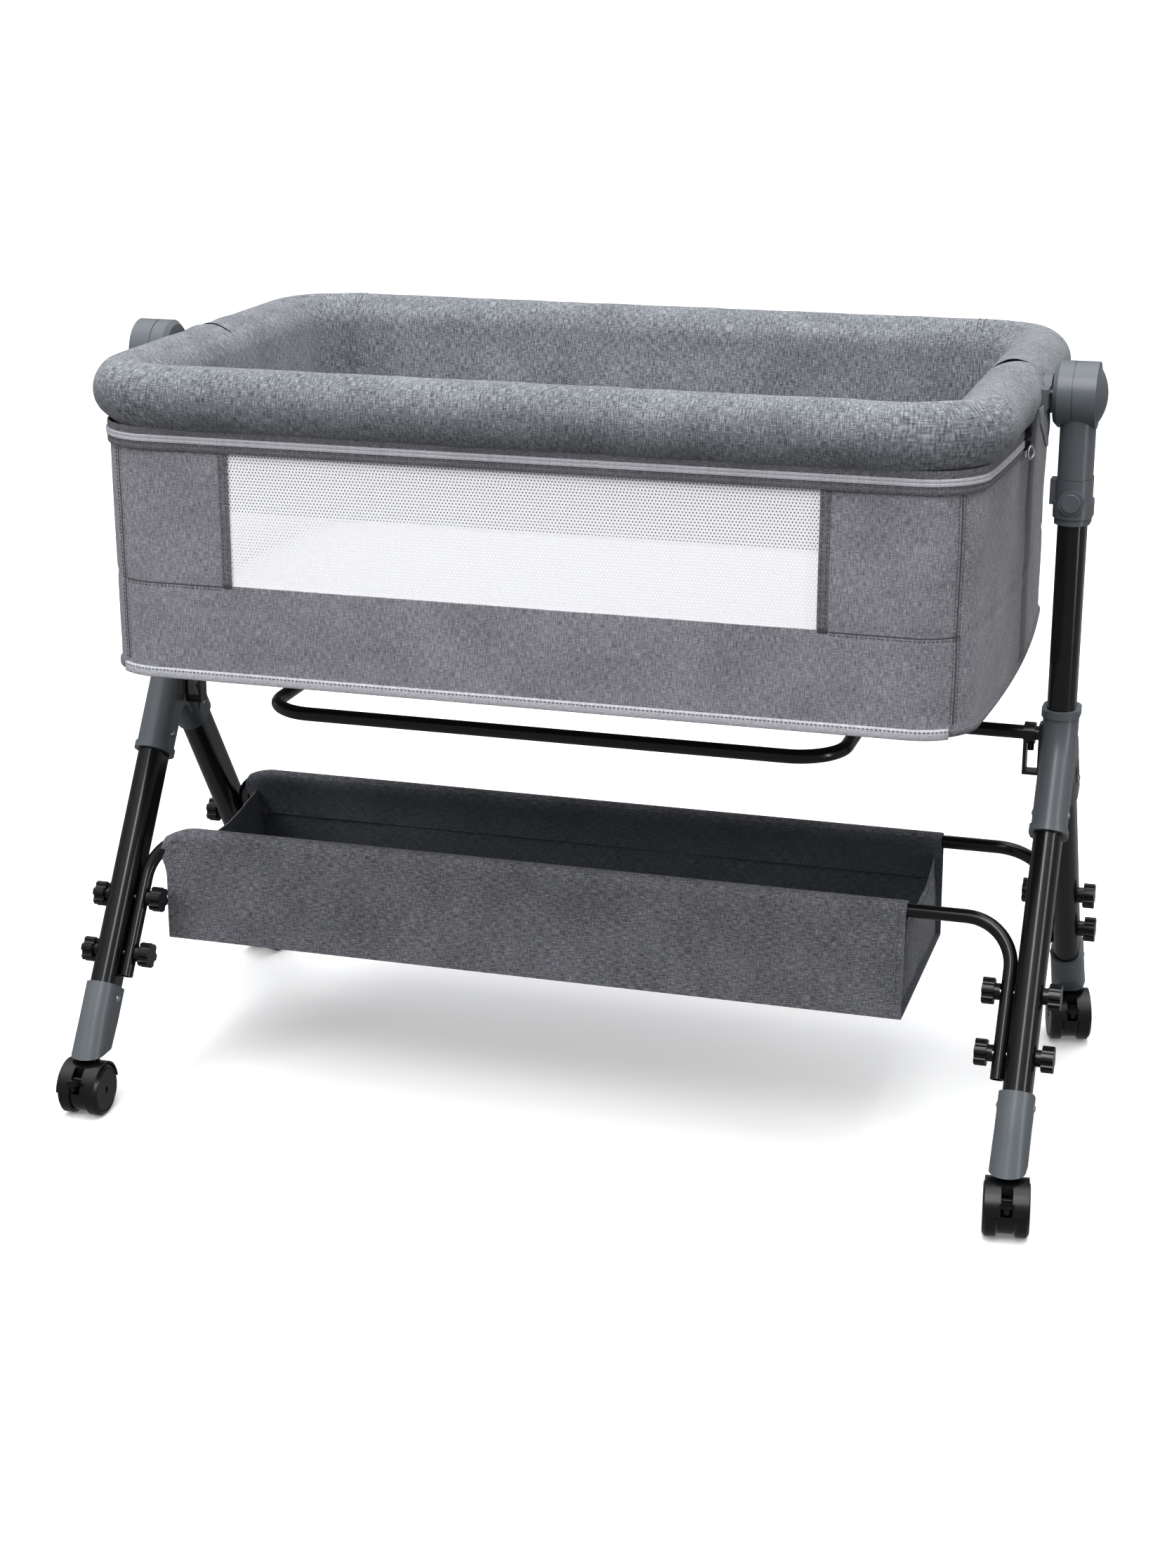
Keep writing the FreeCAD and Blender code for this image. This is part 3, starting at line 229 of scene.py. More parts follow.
def roughen(shader, share, low, high):
    """Varies a shader's roughness between two values."""
    span = add(shader.id_data, "ShaderNodeMapRange", None, {"Value": share, "To Min": low, "To Max": high})
    shader.id_data.links.new(span.outputs[0], shader.inputs["Roughness"])


def emboss(shader, height, strength, depth):
    """Gives a shader a relief."""
    bump = add(shader.id_data, "ShaderNodeBump", None, {
        "Strength": strength, "Distance": depth, "Height": height})
    shader.id_data.links.new(bump.outputs[0], shader.inputs["Normal"])


black_coat, shader = new_material("black_powder_coat", {"Specular IOR Level": 0.5})
wear = speckle(object_place(shader), 9.0, 5.0, 0.6)
tint(shader, wear, "#08080a", "#131315")
roughen(shader, wear, 0.15, 0.26)
emboss(shader, speckle(object_place(shader), 1 / POWDER_PEEL, 1.0), 0.12, 0.06 * MM)
dress(both_ends("main_tube", "rear_leg_tube"), black_coat)
dress(["cross_bar", "cross_bar_brackets", "under_bar", "basket_front_bar", "basket_rear_bar"], black_coat)


# ---------------------------------------------------------------- grey mouldings of the stand
# Joints, foot covers, collars, hubs and their buttons: injection-moulded nylon in slate grey, with
# the fine even grain of a spark-eroded mould and slightly paler high spots.
MOULD_GRAIN = 0.8 * MM         # coarser than real, so that it shows

slate_nylon, shader = new_material("moulded_slate_nylon")
grain = speckle(object_place(shader), 1 / MOULD_GRAIN, 2.0)
tint(shader, speckle(object_place(shader), 14.0, 3.0), "#4f5458", "#5e6367")
roughen(shader, grain, 0.26, 0.38)
emboss(shader, grain, 0.35, 0.08 * MM)
dress(both_ends("yoke", "front_foot_cover", "rear_foot_cover", "height_collar", "height_button",
                "hub", "hub_button"), slate_nylon)
dress(["front_rail_knuckles", "rear_rail_knuckles"], slate_nylon)


# ---------------------------------------------------------------- casters, knobs and clamps
# Twin-wheel casters, hand knobs and clamp blocks: moulded in black nylon, nearly glossy, with the
# fine scuffs of handling.
CORNERS = ("front_left", "front_right", "rear_left", "rear_right")
CASTER_TURNS = (0, 8, -12, 15)                  # degrees about the stems, in the same order
STEM_X = 436 * MM
STEM_Y = 222 * MM
LEVER_TIP = Vector((0, -40, 43.5)) * MM         # the brake lever's end, from the stem's foot
PAD_BOXES = (                                   # place from the tip, size and edge radius, in mm
    ((0, 1.2, -2.4), (13, 4.2, 4.6), 1.3),
    ((0, 1.6, -7.0), (5, 3.4, 8.0), 1.2),
    *(((x, -0.6, -2.4), (1.3, 1.2, 3.4), 0.4) for x in (-3.6, 0, 3.6)))
SHARP_EDGE = math.radians(50)

black_nylon, shader = new_material("moulded_black_nylon")
scuff = speckle(object_place(shader), 60.0, 6.0, 0.7)
tint(shader, scuff, "#070708", "#111112")
roughen(shader, scuff, 0.16, 0.32)
emboss(shader, scuff, 0.2, 0.05 * MM)
dress([f"{c}_{n}" for c in CORNERS for n in ("caster_hood", "caster_wheels", "brake_lever")], black_nylon)


def rounded_box(work, place, size, radius):
    """Adds a box with bevelled edges to a bmesh."""
    made = bmesh.ops.create_cube(work, size=1.0, matrix=place @ Matrix.Diagonal((*size, 1.0)))
    edges = {e for v in made["verts"] for e in v.link_edges}
    bmesh.ops.bevel(work, geom=list(edges), offset=radius, segments=2, affect="EDGES")


def shaped(name, work, material, body):
    """A finished bmesh as a smooth piece."""
    bmesh.ops.recalc_face_normals(work, faces=work.faces)
    mesh = bpy.data.meshes.new(name)
    work.to_mesh(mesh)
    work.free()
    mesh.materials.append(material)
    mesh.shade_smooth()
    mesh.set_sharp_from_angle(angle=SHARP_EDGE)
    piece = linked(name, mesh)
    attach(piece, body)


# the T-shaped pad that the foot meets at the end of each brake lever
for corner, turned in zip(CORNERS, CASTER_TURNS):
    stem = Vector((STEM_X if "right" in corner else -STEM_X, STEM_Y if "rear" in corner else -STEM_Y, 0))
    turn = Matrix.Rotation(math.radians(turned), 4, "Z")
    tip = Matrix.Translation(stem) @ turn @ Matrix.Translation(LEVER_TIP)
    work = bmesh.new()
    for place, size, radius in PAD_BOXES:
        rounded_box(work, tip @ Matrix.Translation(Vector(place) * MM), Vector(size) * MM, radius * MM)
    shaped(corner + "_brake_pad", work, black_nylon, corner + "_brake")
dress(["star_knobs", "under_bar_clamps"], black_nylon)


# ---------------------------------------------------------------- rivets, bolts, tubes and board
# Zinc-plated steel, bright but a little clouded, drawn or cold-headed.  The base board is thin
# hardboard with a white face.
zinc_steel, shader = new_material("zinc_plated_steel", {"Base Color": linear("#c3c5c7"), "Metallic": 1.0})
roughen(shader, speckle(object_place(shader), 120.0, 4.0), 0.24, 0.42)
dress(both_ends("inner_tube"), zinc_steel)
dress(["rivets", "through_bolts", "hub_pins", "front_rail_tube", "rear_rail_tube"], zinc_steel)

pale_board, shader = new_material("white_faced_hardboard", {"Roughness": 0.65})
along = add(shader.id_data, "ShaderNodeMapping", None, {
    "Vector": object_place(shader), "Scale": (3.0, 60.0, 60.0)})
tint(shader, speckle(along.outputs[0], 1.0, 5.0), "#c9c6c0", "#dad7d1")
dress(["base_board"], pale_board)


# ---------------------------------------------------------------- padded rails
# Bent tube in a sleeve of foam, in a cover of heather polyester linen: grey and pale yarns woven
# plain, so streaks lie both ways.  The front one ends in closed caps that turn at the hubs, and
# the rear one laps over them.
RAIL_X = 380 * MM              # the rail's middle line
RAIL_Y = 235 * MM
RAIL_BEND = 60 * MM
THREAD = 0.85 * MM             # yarn as coarse as it needs to be to show
STREAK = 7.5 * MM              # length of a paler stretch of yarn
LAP_Y = 1.5 * MM               # front edge of the rear cover, from the hub axis
REAR_END = ((0.4, 1.0), (-0.4, 0.985), (-8, 0.97), (-15, 0.8), (-20, 0.5), (-22, 0.0))   # reach in mm, share
ROLL_SIDES = 48
RAIL_STEP = 8 * MM             # between two sections of the roll
RIDGE_AT = math.radians(-73)   # the cover's seam lies under the roll, a little outwards
RIDGE = 2.4 * MM
rail_low, rail_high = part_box("rear_rail_pad")
RAIL_Z = (rail_low.z + rail_high.z) / 2
RAIL_R = (rail_high.z - rail_low.z) / 2


def heather(name, dark, middle, pale, roughness=0.9, thread=THREAD):
    """Woven heather cloth, on the piece's own UV map, which is in metres."""
    material, shader = new_material(name, {
        "Roughness": roughness, "Specular IOR Level": 0.2, "Sheen Weight": 0.12, "Sheen Roughness": 0.5})
    tree = shader.id_data
    flat = add(tree, "ShaderNodeUVMap", {"uv_map": "cloth"}).outputs[0]
    warp_place = add(tree, "ShaderNodeMapping", None, {
        "Vector": flat, "Scale": (1 / thread, 1 / STREAK, 1.0)}).outputs[0]
    weft_place = add(tree, "ShaderNodeMapping", None, {
        "Vector": flat, "Scale": (1.4 / STREAK, 1 / thread, 1.0), "Location": (7.0, 3.0, 0.0)}).outputs[0]
    warp, weft = (speckle(place, 1.0, 3.0) for place in (warp_place, weft_place))
    yarns = add(tree, "ShaderNodeMix", {"data_type": "FLOAT"}, {0: 0.45, 2: warp, 3: weft}).outputs[0]
    drift = speckle(flat, 18.0)
    shade = add(tree, "ShaderNodeMix", {"data_type": "FLOAT"}, {0: 0.12, 2: yarns, 3: drift})
    ramp = add(tree, "ShaderNodeValToRGB", None, {"Fac": shade.outputs[0]})
    stops = ramp.color_ramp.elements
    stops.new(0.5)
    for stop, position, colour in zip(stops, (0.39, 0.5, 0.62), (dark, middle, pale)):
        stop.position = position
        stop.color = linear(colour)
    tree.links.new(ramp.outputs[0], shader.inputs["Base Color"])
    over, under = (add(tree, "ShaderNodeTexWave", {"bands_direction": axis}, {
        "Vector": flat, "Scale": 0.3 / thread}).outputs[1] for axis in "XY")
    emboss(shader, calc("ADD", calc("MAXIMUM", over, under), yarns), 0.5, 0.2 * MM)
    return material


rail_cloth = heather("heather_grey_rail_linen", "#3f4246", "#696c71", "#979a9f")


def cloth_grid(name, rows, materials, closed=False, hole=None):
    """A grid of points as a smooth mesh with a UV map in metres; closed joins the last row to the first."""
    count, width = len(rows), len(rows[0])
    faces, places = [], []
    for i in range(count if closed else count - 1):
        for j in range(width - 1):
            if hole and hole(i, j):
                continue
            k = (i + 1) % count
            faces.append((i * width + j, i * width + j + 1, k * width + j + 1, k * width + j))
            places.append((i, j))
    mesh = bpy.data.meshes.new(name)
    mesh.from_pydata([p for row in rows for p in row], [], faces)
    u, v = [0.0], [0.0]
    for a, b in zip(rows[count // 2], rows[count // 2][1:]):
        u.append(u[-1] + (b - a).length)
    column = [row[width // 2] for row in rows] + [rows[0][width // 2]]
    for a, b in zip(column, column[1:]):
        v.append(v[-1] + (b - a).length)
    uv = mesh.uv_layers.new(name="cloth")
    for face, (i, j) in zip(mesh.polygons, places):
        for loop, (di, dj) in zip(face.loop_indices, ((0, 0), (0, 1), (1, 1), (1, 0))):
            uv.data[loop].uv = (u[j + dj], v[i + di])
    for material in materials:
        mesh.materials.append(material)
    mesh.shade_smooth()
    return linked(name, mesh)


def close_up(piece):
    """Merges doubled points at poles and turns every face outwards."""
    work = bmesh.new()
    work.from_mesh(piece.data)
    bmesh.ops.remove_doubles(work, verts=work.verts, dist=0.02 * MM)
    bmesh.ops.recalc_face_normals(work, faces=work.faces)
    work.to_mesh(piece.data)
    work.free()


def apply_modifiers(piece):
    """Turns a piece and its modifiers into a plain mesh."""
    seen = piece.evaluated_get(bpy.context.evaluated_depsgraph_get())
    mesh = bpy.data.meshes.new_from_object(seen)
    mesh.name = piece.name
    piece.modifiers.clear()
    piece.data = mesh


def thicken(piece, thickness, offset=0.0, lined=False):
    """Gives a cloth its thickness; a lined one shows its second material on the other side."""
    thick = piece.modifiers.new("thickness", "SOLIDIFY")
    thick.thickness = thickness
    thick.offset = offset
    thick.material_offset = 1 if lined else 0
    apply_modifiers(piece)
    piece.data.set_sharp_from_angle(angle=SHARP_EDGE)


def refine(piece):
    smooth = piece.modifiers.new("fine", "SUBSURF")
    smooth.levels = smooth.render_levels = 1
    apply_modifiers(piece)


def fill_out(piece, pinned, pressure, cap, frames=20):
    """Cloth simulation of a stuffed cover: it swells against its seams, and no point moves past cap."""
    rest = [v.co.copy() for v in piece.data.vertices]
    piece.vertex_groups.new(name="seams").add(pinned, 1.0, "REPLACE")
    cloth = piece.modifiers.new("filling", "CLOTH")
    for key, value in {
            "quality": 6, "mass": 0.3, "tension_stiffness": 12, "compression_stiffness": 12,
            "bending_stiffness": 0.4, "use_pressure": True, "uniform_pressure_force": pressure,
            "vertex_group_mass": "seams"}.items():
        setattr(cloth.settings, key, value)
    cloth.settings.effector_weights.gravity = 0.0
    for number in range(1, frames + 1):
        scene.frame_set(number)
    seen = piece.evaluated_get(bpy.context.evaluated_depsgraph_get())
    moved = [v.co.copy() for v in seen.data.vertices]
    piece.modifiers.remove(cloth)
    piece.vertex_groups.clear()
    scene.frame_set(1)
    for vertex, start, end in zip(piece.data.vertices, rest, moved):
        step = end - start
        vertex.co = start + step * min(1.0, cap / max(step.length, 1e-9))


def u_path(start, step):
    """Points and outward directions of the rail's line, from the right end round the back to the left."""
    x, y, bend = RAIL_X, RAIL_Y, RAIL_BEND
    points = []
    runs = max(2, round((y - bend - start) / step))
    for i in range(runs):
        points.append((Vector((x, start + (y - bend - start) * i / runs, 0)), Vector((1, 0, 0))))
    turns = round(bend * math.pi / 2 / step)
    for i in range(turns):
        a = math.pi / 2 * i / turns
        out = Vector((math.cos(a), math.sin(a), 0))
        points.append((Vector((x - bend, y - bend, 0)) + out * bend, out))
    mirror = [(Vector((-p.x, p.y, 0)), Vector((-o.x, o.y, 0))) for p, o in points[::-1]]
    reach, back = x - bend, Vector((0, 1, 0))
    across = round(2 * reach / step)
    points += [(Vector((reach - 2 * reach * i / across, y, 0)), back) for i in range(across)]
    return points + [(Vector((-reach, y, 0)), back)] + mirror


def crease(point, size, height, seed):
    """Soft puckers of a cover, in metres."""
    return height * noise.noise(point / size + Vector((seed, 0, 0)))


def facing(point, front):
    """Mirrors a point made for the back of the crib to its front."""
    return Vector((point.x, -point.y, point.z)) if front else point


def roll_place(p, out, share, angle, seed):
    """A point on the rolled cover: a round section with a soft seam ridge below."""
    ridge = RIDGE * math.exp(-(math.remainder(angle - RIDGE_AT, 2 * math.pi) / 0.16) ** 2)
    gather = 1.0 + 2.2 * math.exp(-(p.y / (34 * MM)) ** 2)
    away = out * math.cos(angle) + Vector((0, 0, math.sin(angle)))
    q = p + Vector((0, 0, RAIL_Z)) + away * (RAIL_R * share + (ridge if share > 0.9 else 0.0))
    if share > 0.95:
        q += away * (crease(q, 30 * MM, 0.8 * MM * gather, seed) - 0.6 * MM)
    return q


def rail_cover(name, front, seed):
    """A stuffed roll along the rail with its two ends closed."""
    start = 0.0 if front else LAP_Y
    start = 0.0 if front else LAP_Y
    line = u_path(start, RAIL_STEP)
    ends = ([(RAIL_R * math.sin(t), math.cos(t)) for t in (0.4, 0.8, 1.15, 1.4, 1.57)] if front else
            [(d * MM, share) for d, share in REAR_END])
    sides = []
    for first, out in (line[0], line[-1]):
        sides.append([(first - Vector((0, reach, 0)), out, share) for reach, share in ends])
    lap = 0.0 if front else 0.018
    body = [(p, o, 1.0 + lap * math.exp(-((p.y - start) / (9 * MM)) ** 2)) for p, o in line]
    columns = sides[0][::-1] + body + sides[1]
    rows = [[facing(roll_place(p, out, share, 2 * math.pi * k / ROLL_SIDES, seed), front)
             for p, out, share in columns] for k in range(ROLL_SIDES)]
    cover = cloth_grid(name, rows, [rail_cloth], closed=True)
    close_up(cover)
    pins = [v.index for v in cover.data.vertices if v.co.z < RAIL_Z - RAIL_R * 0.92 or abs(v.co.y) < 26 * MM]
    fill_out(cover, pins, 4.0, 2.0 * MM)
    refine(cover)
    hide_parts("front_rail_pad" if front else "rear_rail_pad")
    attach(cover, "front_rail" if front else "bassinet")
    return cover


FLAP_LONG = 58 * MM


def hub_flap(name, side):
    """The loose lobe of the front cover beside the hub, hanging over the end of the zip."""
    rows = []
    for i in range(17):
        y = -60 * MM + FLAP_LONG * i / 16
        droop = 12 * MM + 26 * MM * math.sin(math.pi * min(1.0, (i / 16) ** 1.4)) ** 0.8
        row = []
        for k in range(13):
            z = RAIL_Z - 4 * MM - droop * k / 12
            fall = max(0.0, RAIL_Z - z)
            x = RAIL_X + RAIL_R + 0.6 * MM + 0.1 * fall
            row.append(Vector((side * (x + crease(Vector((0, y, z)), 18 * MM, 0.9 * MM, side)), y, z)))
        rows.append(row)
    piece = cloth_grid(name, rows, [rail_cloth])
    thicken(piece, 1.6 * MM)
    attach(piece, "front_rail")


hub_flap("right_hub_flap", 1)
hub_flap("left_hub_flap", -1)
front_rail_cover = rail_cover("front_rail_cover", True, 1.0)
rear_rail_cover = rail_cover("rear_rail_cover", False, 2.0)


# ---------------------------------------------------------------- fabric body
# Front and back walls cut from heather cloth over a thin stiffener and lined in white, with a
# seam at each corner and one at the foot of the window, where the cloth is drawn in.
BODY_X = 388 * MM
BODY_Y = 245 * MM
BODY_CORNER = 52 * MM
BODY_CROWN = 8 * MM
WALL_T = 2 * MM
FLOOR_T = 1.5 * MM
WALL_LOW = 449 * MM
WALL_TOP = 654 * MM
HUNG_TOP = 666 * MM
SPLIT_Y = 0.2 * MM
LINING_TOP = 600 * MM          # white lining below, grey above
SEAM_GROOVE = 0.9 * MM
WALL_SEED = 3.0
window_low, window_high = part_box("front_mesh")
WINDOW_X = window_high.x + 0.3 * MM
WINDOW_Z0 = window_low.z - 0.3 * MM
WINDOW_Z1 = window_high.z + 0.3 * MM
CORNER_SEAM_X = {1: 376 * MM, -1: 364 * MM}     # right and left
OUTLINE_STEP = 4.6 * MM

body_cloth = heather("heather_grey_body_linen", "#5d5d62", "#7e7e84", "#a2a2a8", thread=0.8 * MM)
white_lining = heather("white_cotton_lining", "#dcdcde", "#e8e8ea", "#f0f0f2")


def half_outline(inset, step):
    """Rear half of the body's outline seen from above, from the right end round the back."""
    x, y, r = BODY_X - inset, BODY_Y - inset, BODY_CORNER - inset
    points = []
    rise = y - r
    count = round((rise - SPLIT_Y) / step)
    for i in range(count):
        at = SPLIT_Y + (rise - SPLIT_Y) * i / count
        points.append(Vector((x + BODY_CROWN * (1 - (at / rise) ** 2), at, 0)))
    turns = 2 * round(r * math.pi / 4 / step)
    for i in range(turns):
        a = math.pi / 2 * i / turns
        points.append(Vector((x - r + r * math.cos(a), y - r + r * math.sin(a), 0)))
    mirror = [Vector((-p.x, p.y, 0)) for p in points[::-1]]
    stops = [x - r, WINDOW_X, -WINDOW_X, -(x - r)]
    for a, b in zip(stops, stops[1:]):
        pieces = max(2, round((a - b) / step))
        points += [Vector((a + (b - a) * i / pieces, y, 0)) for i in range(pieces)]
    return points + [Vector((-(x - r), y, 0))] + mirror


def outward(p):
    """Outward direction at a point of the body's outline."""
    centre = Vector((math.copysign(BODY_X - BODY_CORNER, p.x), math.copysign(BODY_Y - BODY_CORNER, p.y), 0))
    if abs(p.x) <= abs(centre.x):
        return Vector((0, math.copysign(1.0, p.y), 0))
    if abs(p.y) <= abs(centre.y):
        return Vector((math.copysign(1.0, p.x), 0, 0))
    return Vector((p.x - centre.x, p.y - centre.y, 0)).normalized()


def levels(marks, step):
    """Heights from the first mark to the last, with a row on each mark."""
    heights = []
    for a, b in zip(marks, marks[1:]):
        pieces = max(1, round((b - a) / step))
        heights += [a + (b - a) * i / pieces for i in range(pieces)]
    return heights + [marks[-1]]


def wall_place(p, z, proud=0.0):
    """A point on the wall's outer face above a point of the outline."""
    side = 1 if p.x > 0 else -1
    off_seam = abs(p.x) - CORNER_SEAM_X[side]
    near_seam = math.exp(-(off_seam / (2.6 * MM)) ** 2) if abs(p.y) > BODY_Y - BODY_CORNER else 0.0
    near_foot = math.exp(-((z - WINDOW_Z0) / (2.6 * MM)) ** 2) if abs(p.x) > WINDOW_X else 0.0
    tuck = max(0.0, 1 - (z - WALL_LOW) / (16 * MM))
    away = (crease(Vector((p.x, abs(p.y), z)), 60 * MM, 1.3 * MM, WALL_SEED) - 0.5 * MM) * (1 - tuck)
    away -= 0.6 * MM * tuck ** 2 + SEAM_GROOVE * max(near_seam, near_foot)
    return Vector((p.x, p.y, z)) + outward(p) * (away + proud)


def on_half(piece, front):
    """A cloth of the front, which on the crib gives way as its rail comes down, has its placing baked into its
    points and is attached to nothing; one of the back is attached to the bassinet and stays as it is.
    """
    if front:
        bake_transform(piece)
    else:
        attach(piece, "bassinet")


def wall(name, front, top, node):
    """Half of the body with its window left open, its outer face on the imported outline."""
    line = half_outline(0.0, OUTLINE_STEP)
    heights = levels([WALL_LOW, WINDOW_Z0, WINDOW_Z1, top], 5 * MM)
    rows = [[facing(wall_place(p, z), front) for p in line] for z in heights]
    low, high = heights.index(WINDOW_Z0), heights.index(WINDOW_Z1)
    inside = [abs((a.x + b.x) / 2) < WINDOW_X and a.y > BODY_Y - MM for a, b in zip(line, line[1:])]
    piece = cloth_grid(name, rows, [body_cloth, white_lining], hole=lambda i, j: low <= i < high and inside[j])
    side = piece.data.polygons[0]
    if side.normal.x * side.center.x < 0:
        piece.data.flip_normals()
    thicken(piece, WALL_T, -1.0, lined=True)
    for face in piece.data.polygons:
        if face.material_index == 1 and face.center.z > LINING_TOP:
            face.material_index = 0
    length = sum((b - a).length for a, b in zip(line, line[1:]))
    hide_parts(node)
    on_half(piece, front)
    return piece


front_wall = wall("front_wall", True, WALL_TOP, "front_panel")
rear_wall = wall("rear_wall", False, HUNG_TOP, "body_shell")

floor_line = half_outline(2 * MM, 12 * MM)
rows = [[Vector((p.x, (1 - k / 12) * p.y, WALL_LOW + 0.4 * MM)) for p in floor_line] for k in range(25)]
body_floor = cloth_grid("body_floor", rows, [body_cloth])
close_up(body_floor)
thicken(body_floor, FLOOR_T)
on_half(body_floor, False)


# ---------------------------------------------------------------- inner skirts of the rails
# The rail covers' inner side runs straight on down inside the body and is sewn to the lining a
# hand's width below the rail.
SKIRT_TOP = RAIL_Z + 21 * MM
SKIRT_LOW = LINING_TOP - 4 * MM
SKIRT_TURN = 640 * MM          # below this it goes outwards to the lining
SKIRT_T = 1 * MM
SKIRT_FOLD = 16 * MM           # across a fold; the folds are longer downwards
SKIRT_FOLD_LONG = 90 * MM


def skirt(name, front, seed):
    """The inner cloth under one rail, in soft upright folds that ease out at the rail."""
    line = u_path(0.3 * MM, RAIL_STEP)
    rows = []
    for i in range(22):
        z = SKIRT_LOW + (SKIRT_TOP - SKIRT_LOW) * i / 21
        above = max(0.0, z - RAIL_Z) / (SKIRT_TOP - RAIL_Z)
        hold = math.sqrt(RAIL_R ** 2 - max(0.0, z - RAIL_Z) ** 2) + (2.2 - 4.2 * above ** 4) * MM
        ease = 0.5 - 0.5 * math.cos(math.pi * min(1.0, (z - SKIRT_LOW) / (SKIRT_TURN - SKIRT_LOW)))
        row = []
        for p, out in line:
            at = Vector((p.x / SKIRT_FOLD, p.y / SKIRT_FOLD, z / SKIRT_FOLD_LONG))
            folds = crease(at, 1.0, 1.5 * MM, seed)
            folds *= min(1.0, max(0.0, RAIL_Z + 4 * MM - z) / (30 * MM))
            reach = 5 * MM * (1 - ease) - hold * ease + folds
            q = p + out * reach
            q.z = z
            row.append(facing(q, front))
        rows.append(row)
    piece = cloth_grid(name, rows, [rail_cloth])
    thicken(piece, SKIRT_T)
    length = sum((b[0] - a[0]).length for a, b in zip(line, line[1:]))
    on_half(piece, front)
    return piece


rear_skirt = skirt("rear_skirt", False, 5.0)
skirt("front_skirt", True, 6.0)


# ---------------------------------------------------------------- net windows
# Knitted white polyester net with six-sided holes, stretched in the front and back openings.
NET_PITCH = 3.0 * MM
NET_OPEN = 0.38                # share of a cell's width that is open

NET_FLAT = (2 * WINDOW_X + 4 * MM, WINDOW_Z1 - WINDOW_Z0 + 5 * MM)
NET_DEPTH = 2.2 * MM           # behind the wall's outer face

white_net, shader = new_material("white_knitted_net", {"Roughness": 0.7, "Sheen Weight": 0.3})
tint(shader, speckle(object_place(shader), 900.0, 1.0), "#f3f3f5", "#fdfdff")


def interface(tree, sockets):
    """Gives a geometry tree its output and its named inputs."""
    tree.interface.new_socket(name="Geometry", in_out="OUTPUT", socket_type="NodeSocketGeometry")
    for name, kind in sockets:
        tree.interface.new_socket(name=name, in_out="INPUT", socket_type="NodeSocket" + kind)
    return add(tree, "NodeGroupInput").outputs


net_tree = bpy.data.node_groups.new("net", "GeometryNodeTree")
given = interface(net_tree, (("Width", "Float"), ("Height", "Float"), ("Pitch", "Float"), ("Open", "Float"),
                             ("Material", "Material")))
row_pitch = calc("MULTIPLY", given["Pitch"], math.sqrt(0.75))
cells = add(net_tree, "GeometryNodeMeshGrid", None, {
    "Size X": given["Width"], "Size Y": given["Height"],
    "Vertices X": calc("DIVIDE", given["Width"], given["Pitch"]),
    "Vertices Y": calc("DIVIDE", given["Height"], row_pitch)})
where = add(net_tree, "GeometryNodeInputPosition")
split = add(net_tree, "ShaderNodeSeparateXYZ", None, {0: where.outputs[0]})
row_number = calc("ROUND", calc("DIVIDE", split.outputs[1], row_pitch))
slide = calc("MULTIPLY", calc("PINGPONG", row_number, 1.0), given["Pitch"])
offset = add(net_tree, "ShaderNodeCombineXYZ", None, {0: calc("MULTIPLY", slide, 0.5)})
staggered = add(net_tree, "GeometryNodeSetPosition", None, {
    "Geometry": cells.outputs["Mesh"], "Offset": offset.outputs[0]})
triangles = add(net_tree, "GeometryNodeTriangulate", None, {"Mesh": staggered.outputs[0]})
six_sided = add(net_tree, "GeometryNodeDualMesh", None, {"Mesh": triangles.outputs[0]})
rims = add(net_tree, "GeometryNodeExtrudeMesh", {"mode": "FACES"}, {
    "Mesh": six_sided.outputs[0], "Offset Scale": 0.0, "Individual": True})
drawn_in = add(net_tree, "GeometryNodeScaleElements", None, {
    "Geometry": rims.outputs["Mesh"], "Selection": rims.outputs["Top"], "Scale": given["Open"]})
open_net = add(net_tree, "GeometryNodeDeleteGeometry", {"domain": "FACE"}, {
    "Geometry": drawn_in.outputs[0], "Selection": rims.outputs["Top"]})


def close_tree(tree, geometry):
    """Ends a geometry tree: real meshes with its material."""
    real = add(tree, "GeometryNodeRealizeInstances", None, {"Geometry": geometry})
    finished = add(tree, "GeometryNodeSetMaterial", None, {
        "Geometry": real.outputs[0], "Material": given["Material"]})
    add(tree, "NodeGroupOutput", None, {"Geometry": finished.outputs[0]})


close_tree(net_tree, open_net.outputs[0])


def made_by(tree, name, values, base=None):
    """A piece made by a node tree, as a plain mesh; values are given by the inputs' names."""
    piece = linked(name, base or bpy.data.meshes.new(name))
    maker = piece.modifiers.new("maker", "NODES")
    maker.node_group = tree
    for item in tree.interface.items_tree:
        if item.item_type == "SOCKET" and item.in_out == "INPUT" and item.name in values:
            maker[item.identifier] = values[item.name]
    apply_modifiers(piece)
    return piece


def net(name, side, node):
    """One window's net, set just behind the opening of its wall."""
    piece = made_by(net_tree, name, {
        "Width": NET_FLAT[0], "Height": NET_FLAT[1], "Pitch": NET_PITCH,
        "Open": NET_OPEN, "Material": white_net})
    upright = Matrix.Rotation(math.radians(90), 4, "X")
    place = Matrix.Translation((-NET_PITCH / 4, side * (BODY_Y - NET_DEPTH), (WINDOW_Z0 + WINDOW_Z1) / 2))
    piece.data.transform(place @ upright)
    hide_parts(node)
    on_half(piece, side < 0)


net("front_net", -1, "front_mesh")
net("rear_net", 1, "rear_mesh")


# ---------------------------------------------------------------- tapes beside the windows
# The net's upright edges are bound in a folded tape of the body's cloth, a little darker where
# the folds lie double.
TAPE_W = 9 * MM
tape_cloth = heather("folded_heather_tape", "#4a4a4f", "#66666b", "#85858a", thread=0.8 * MM)


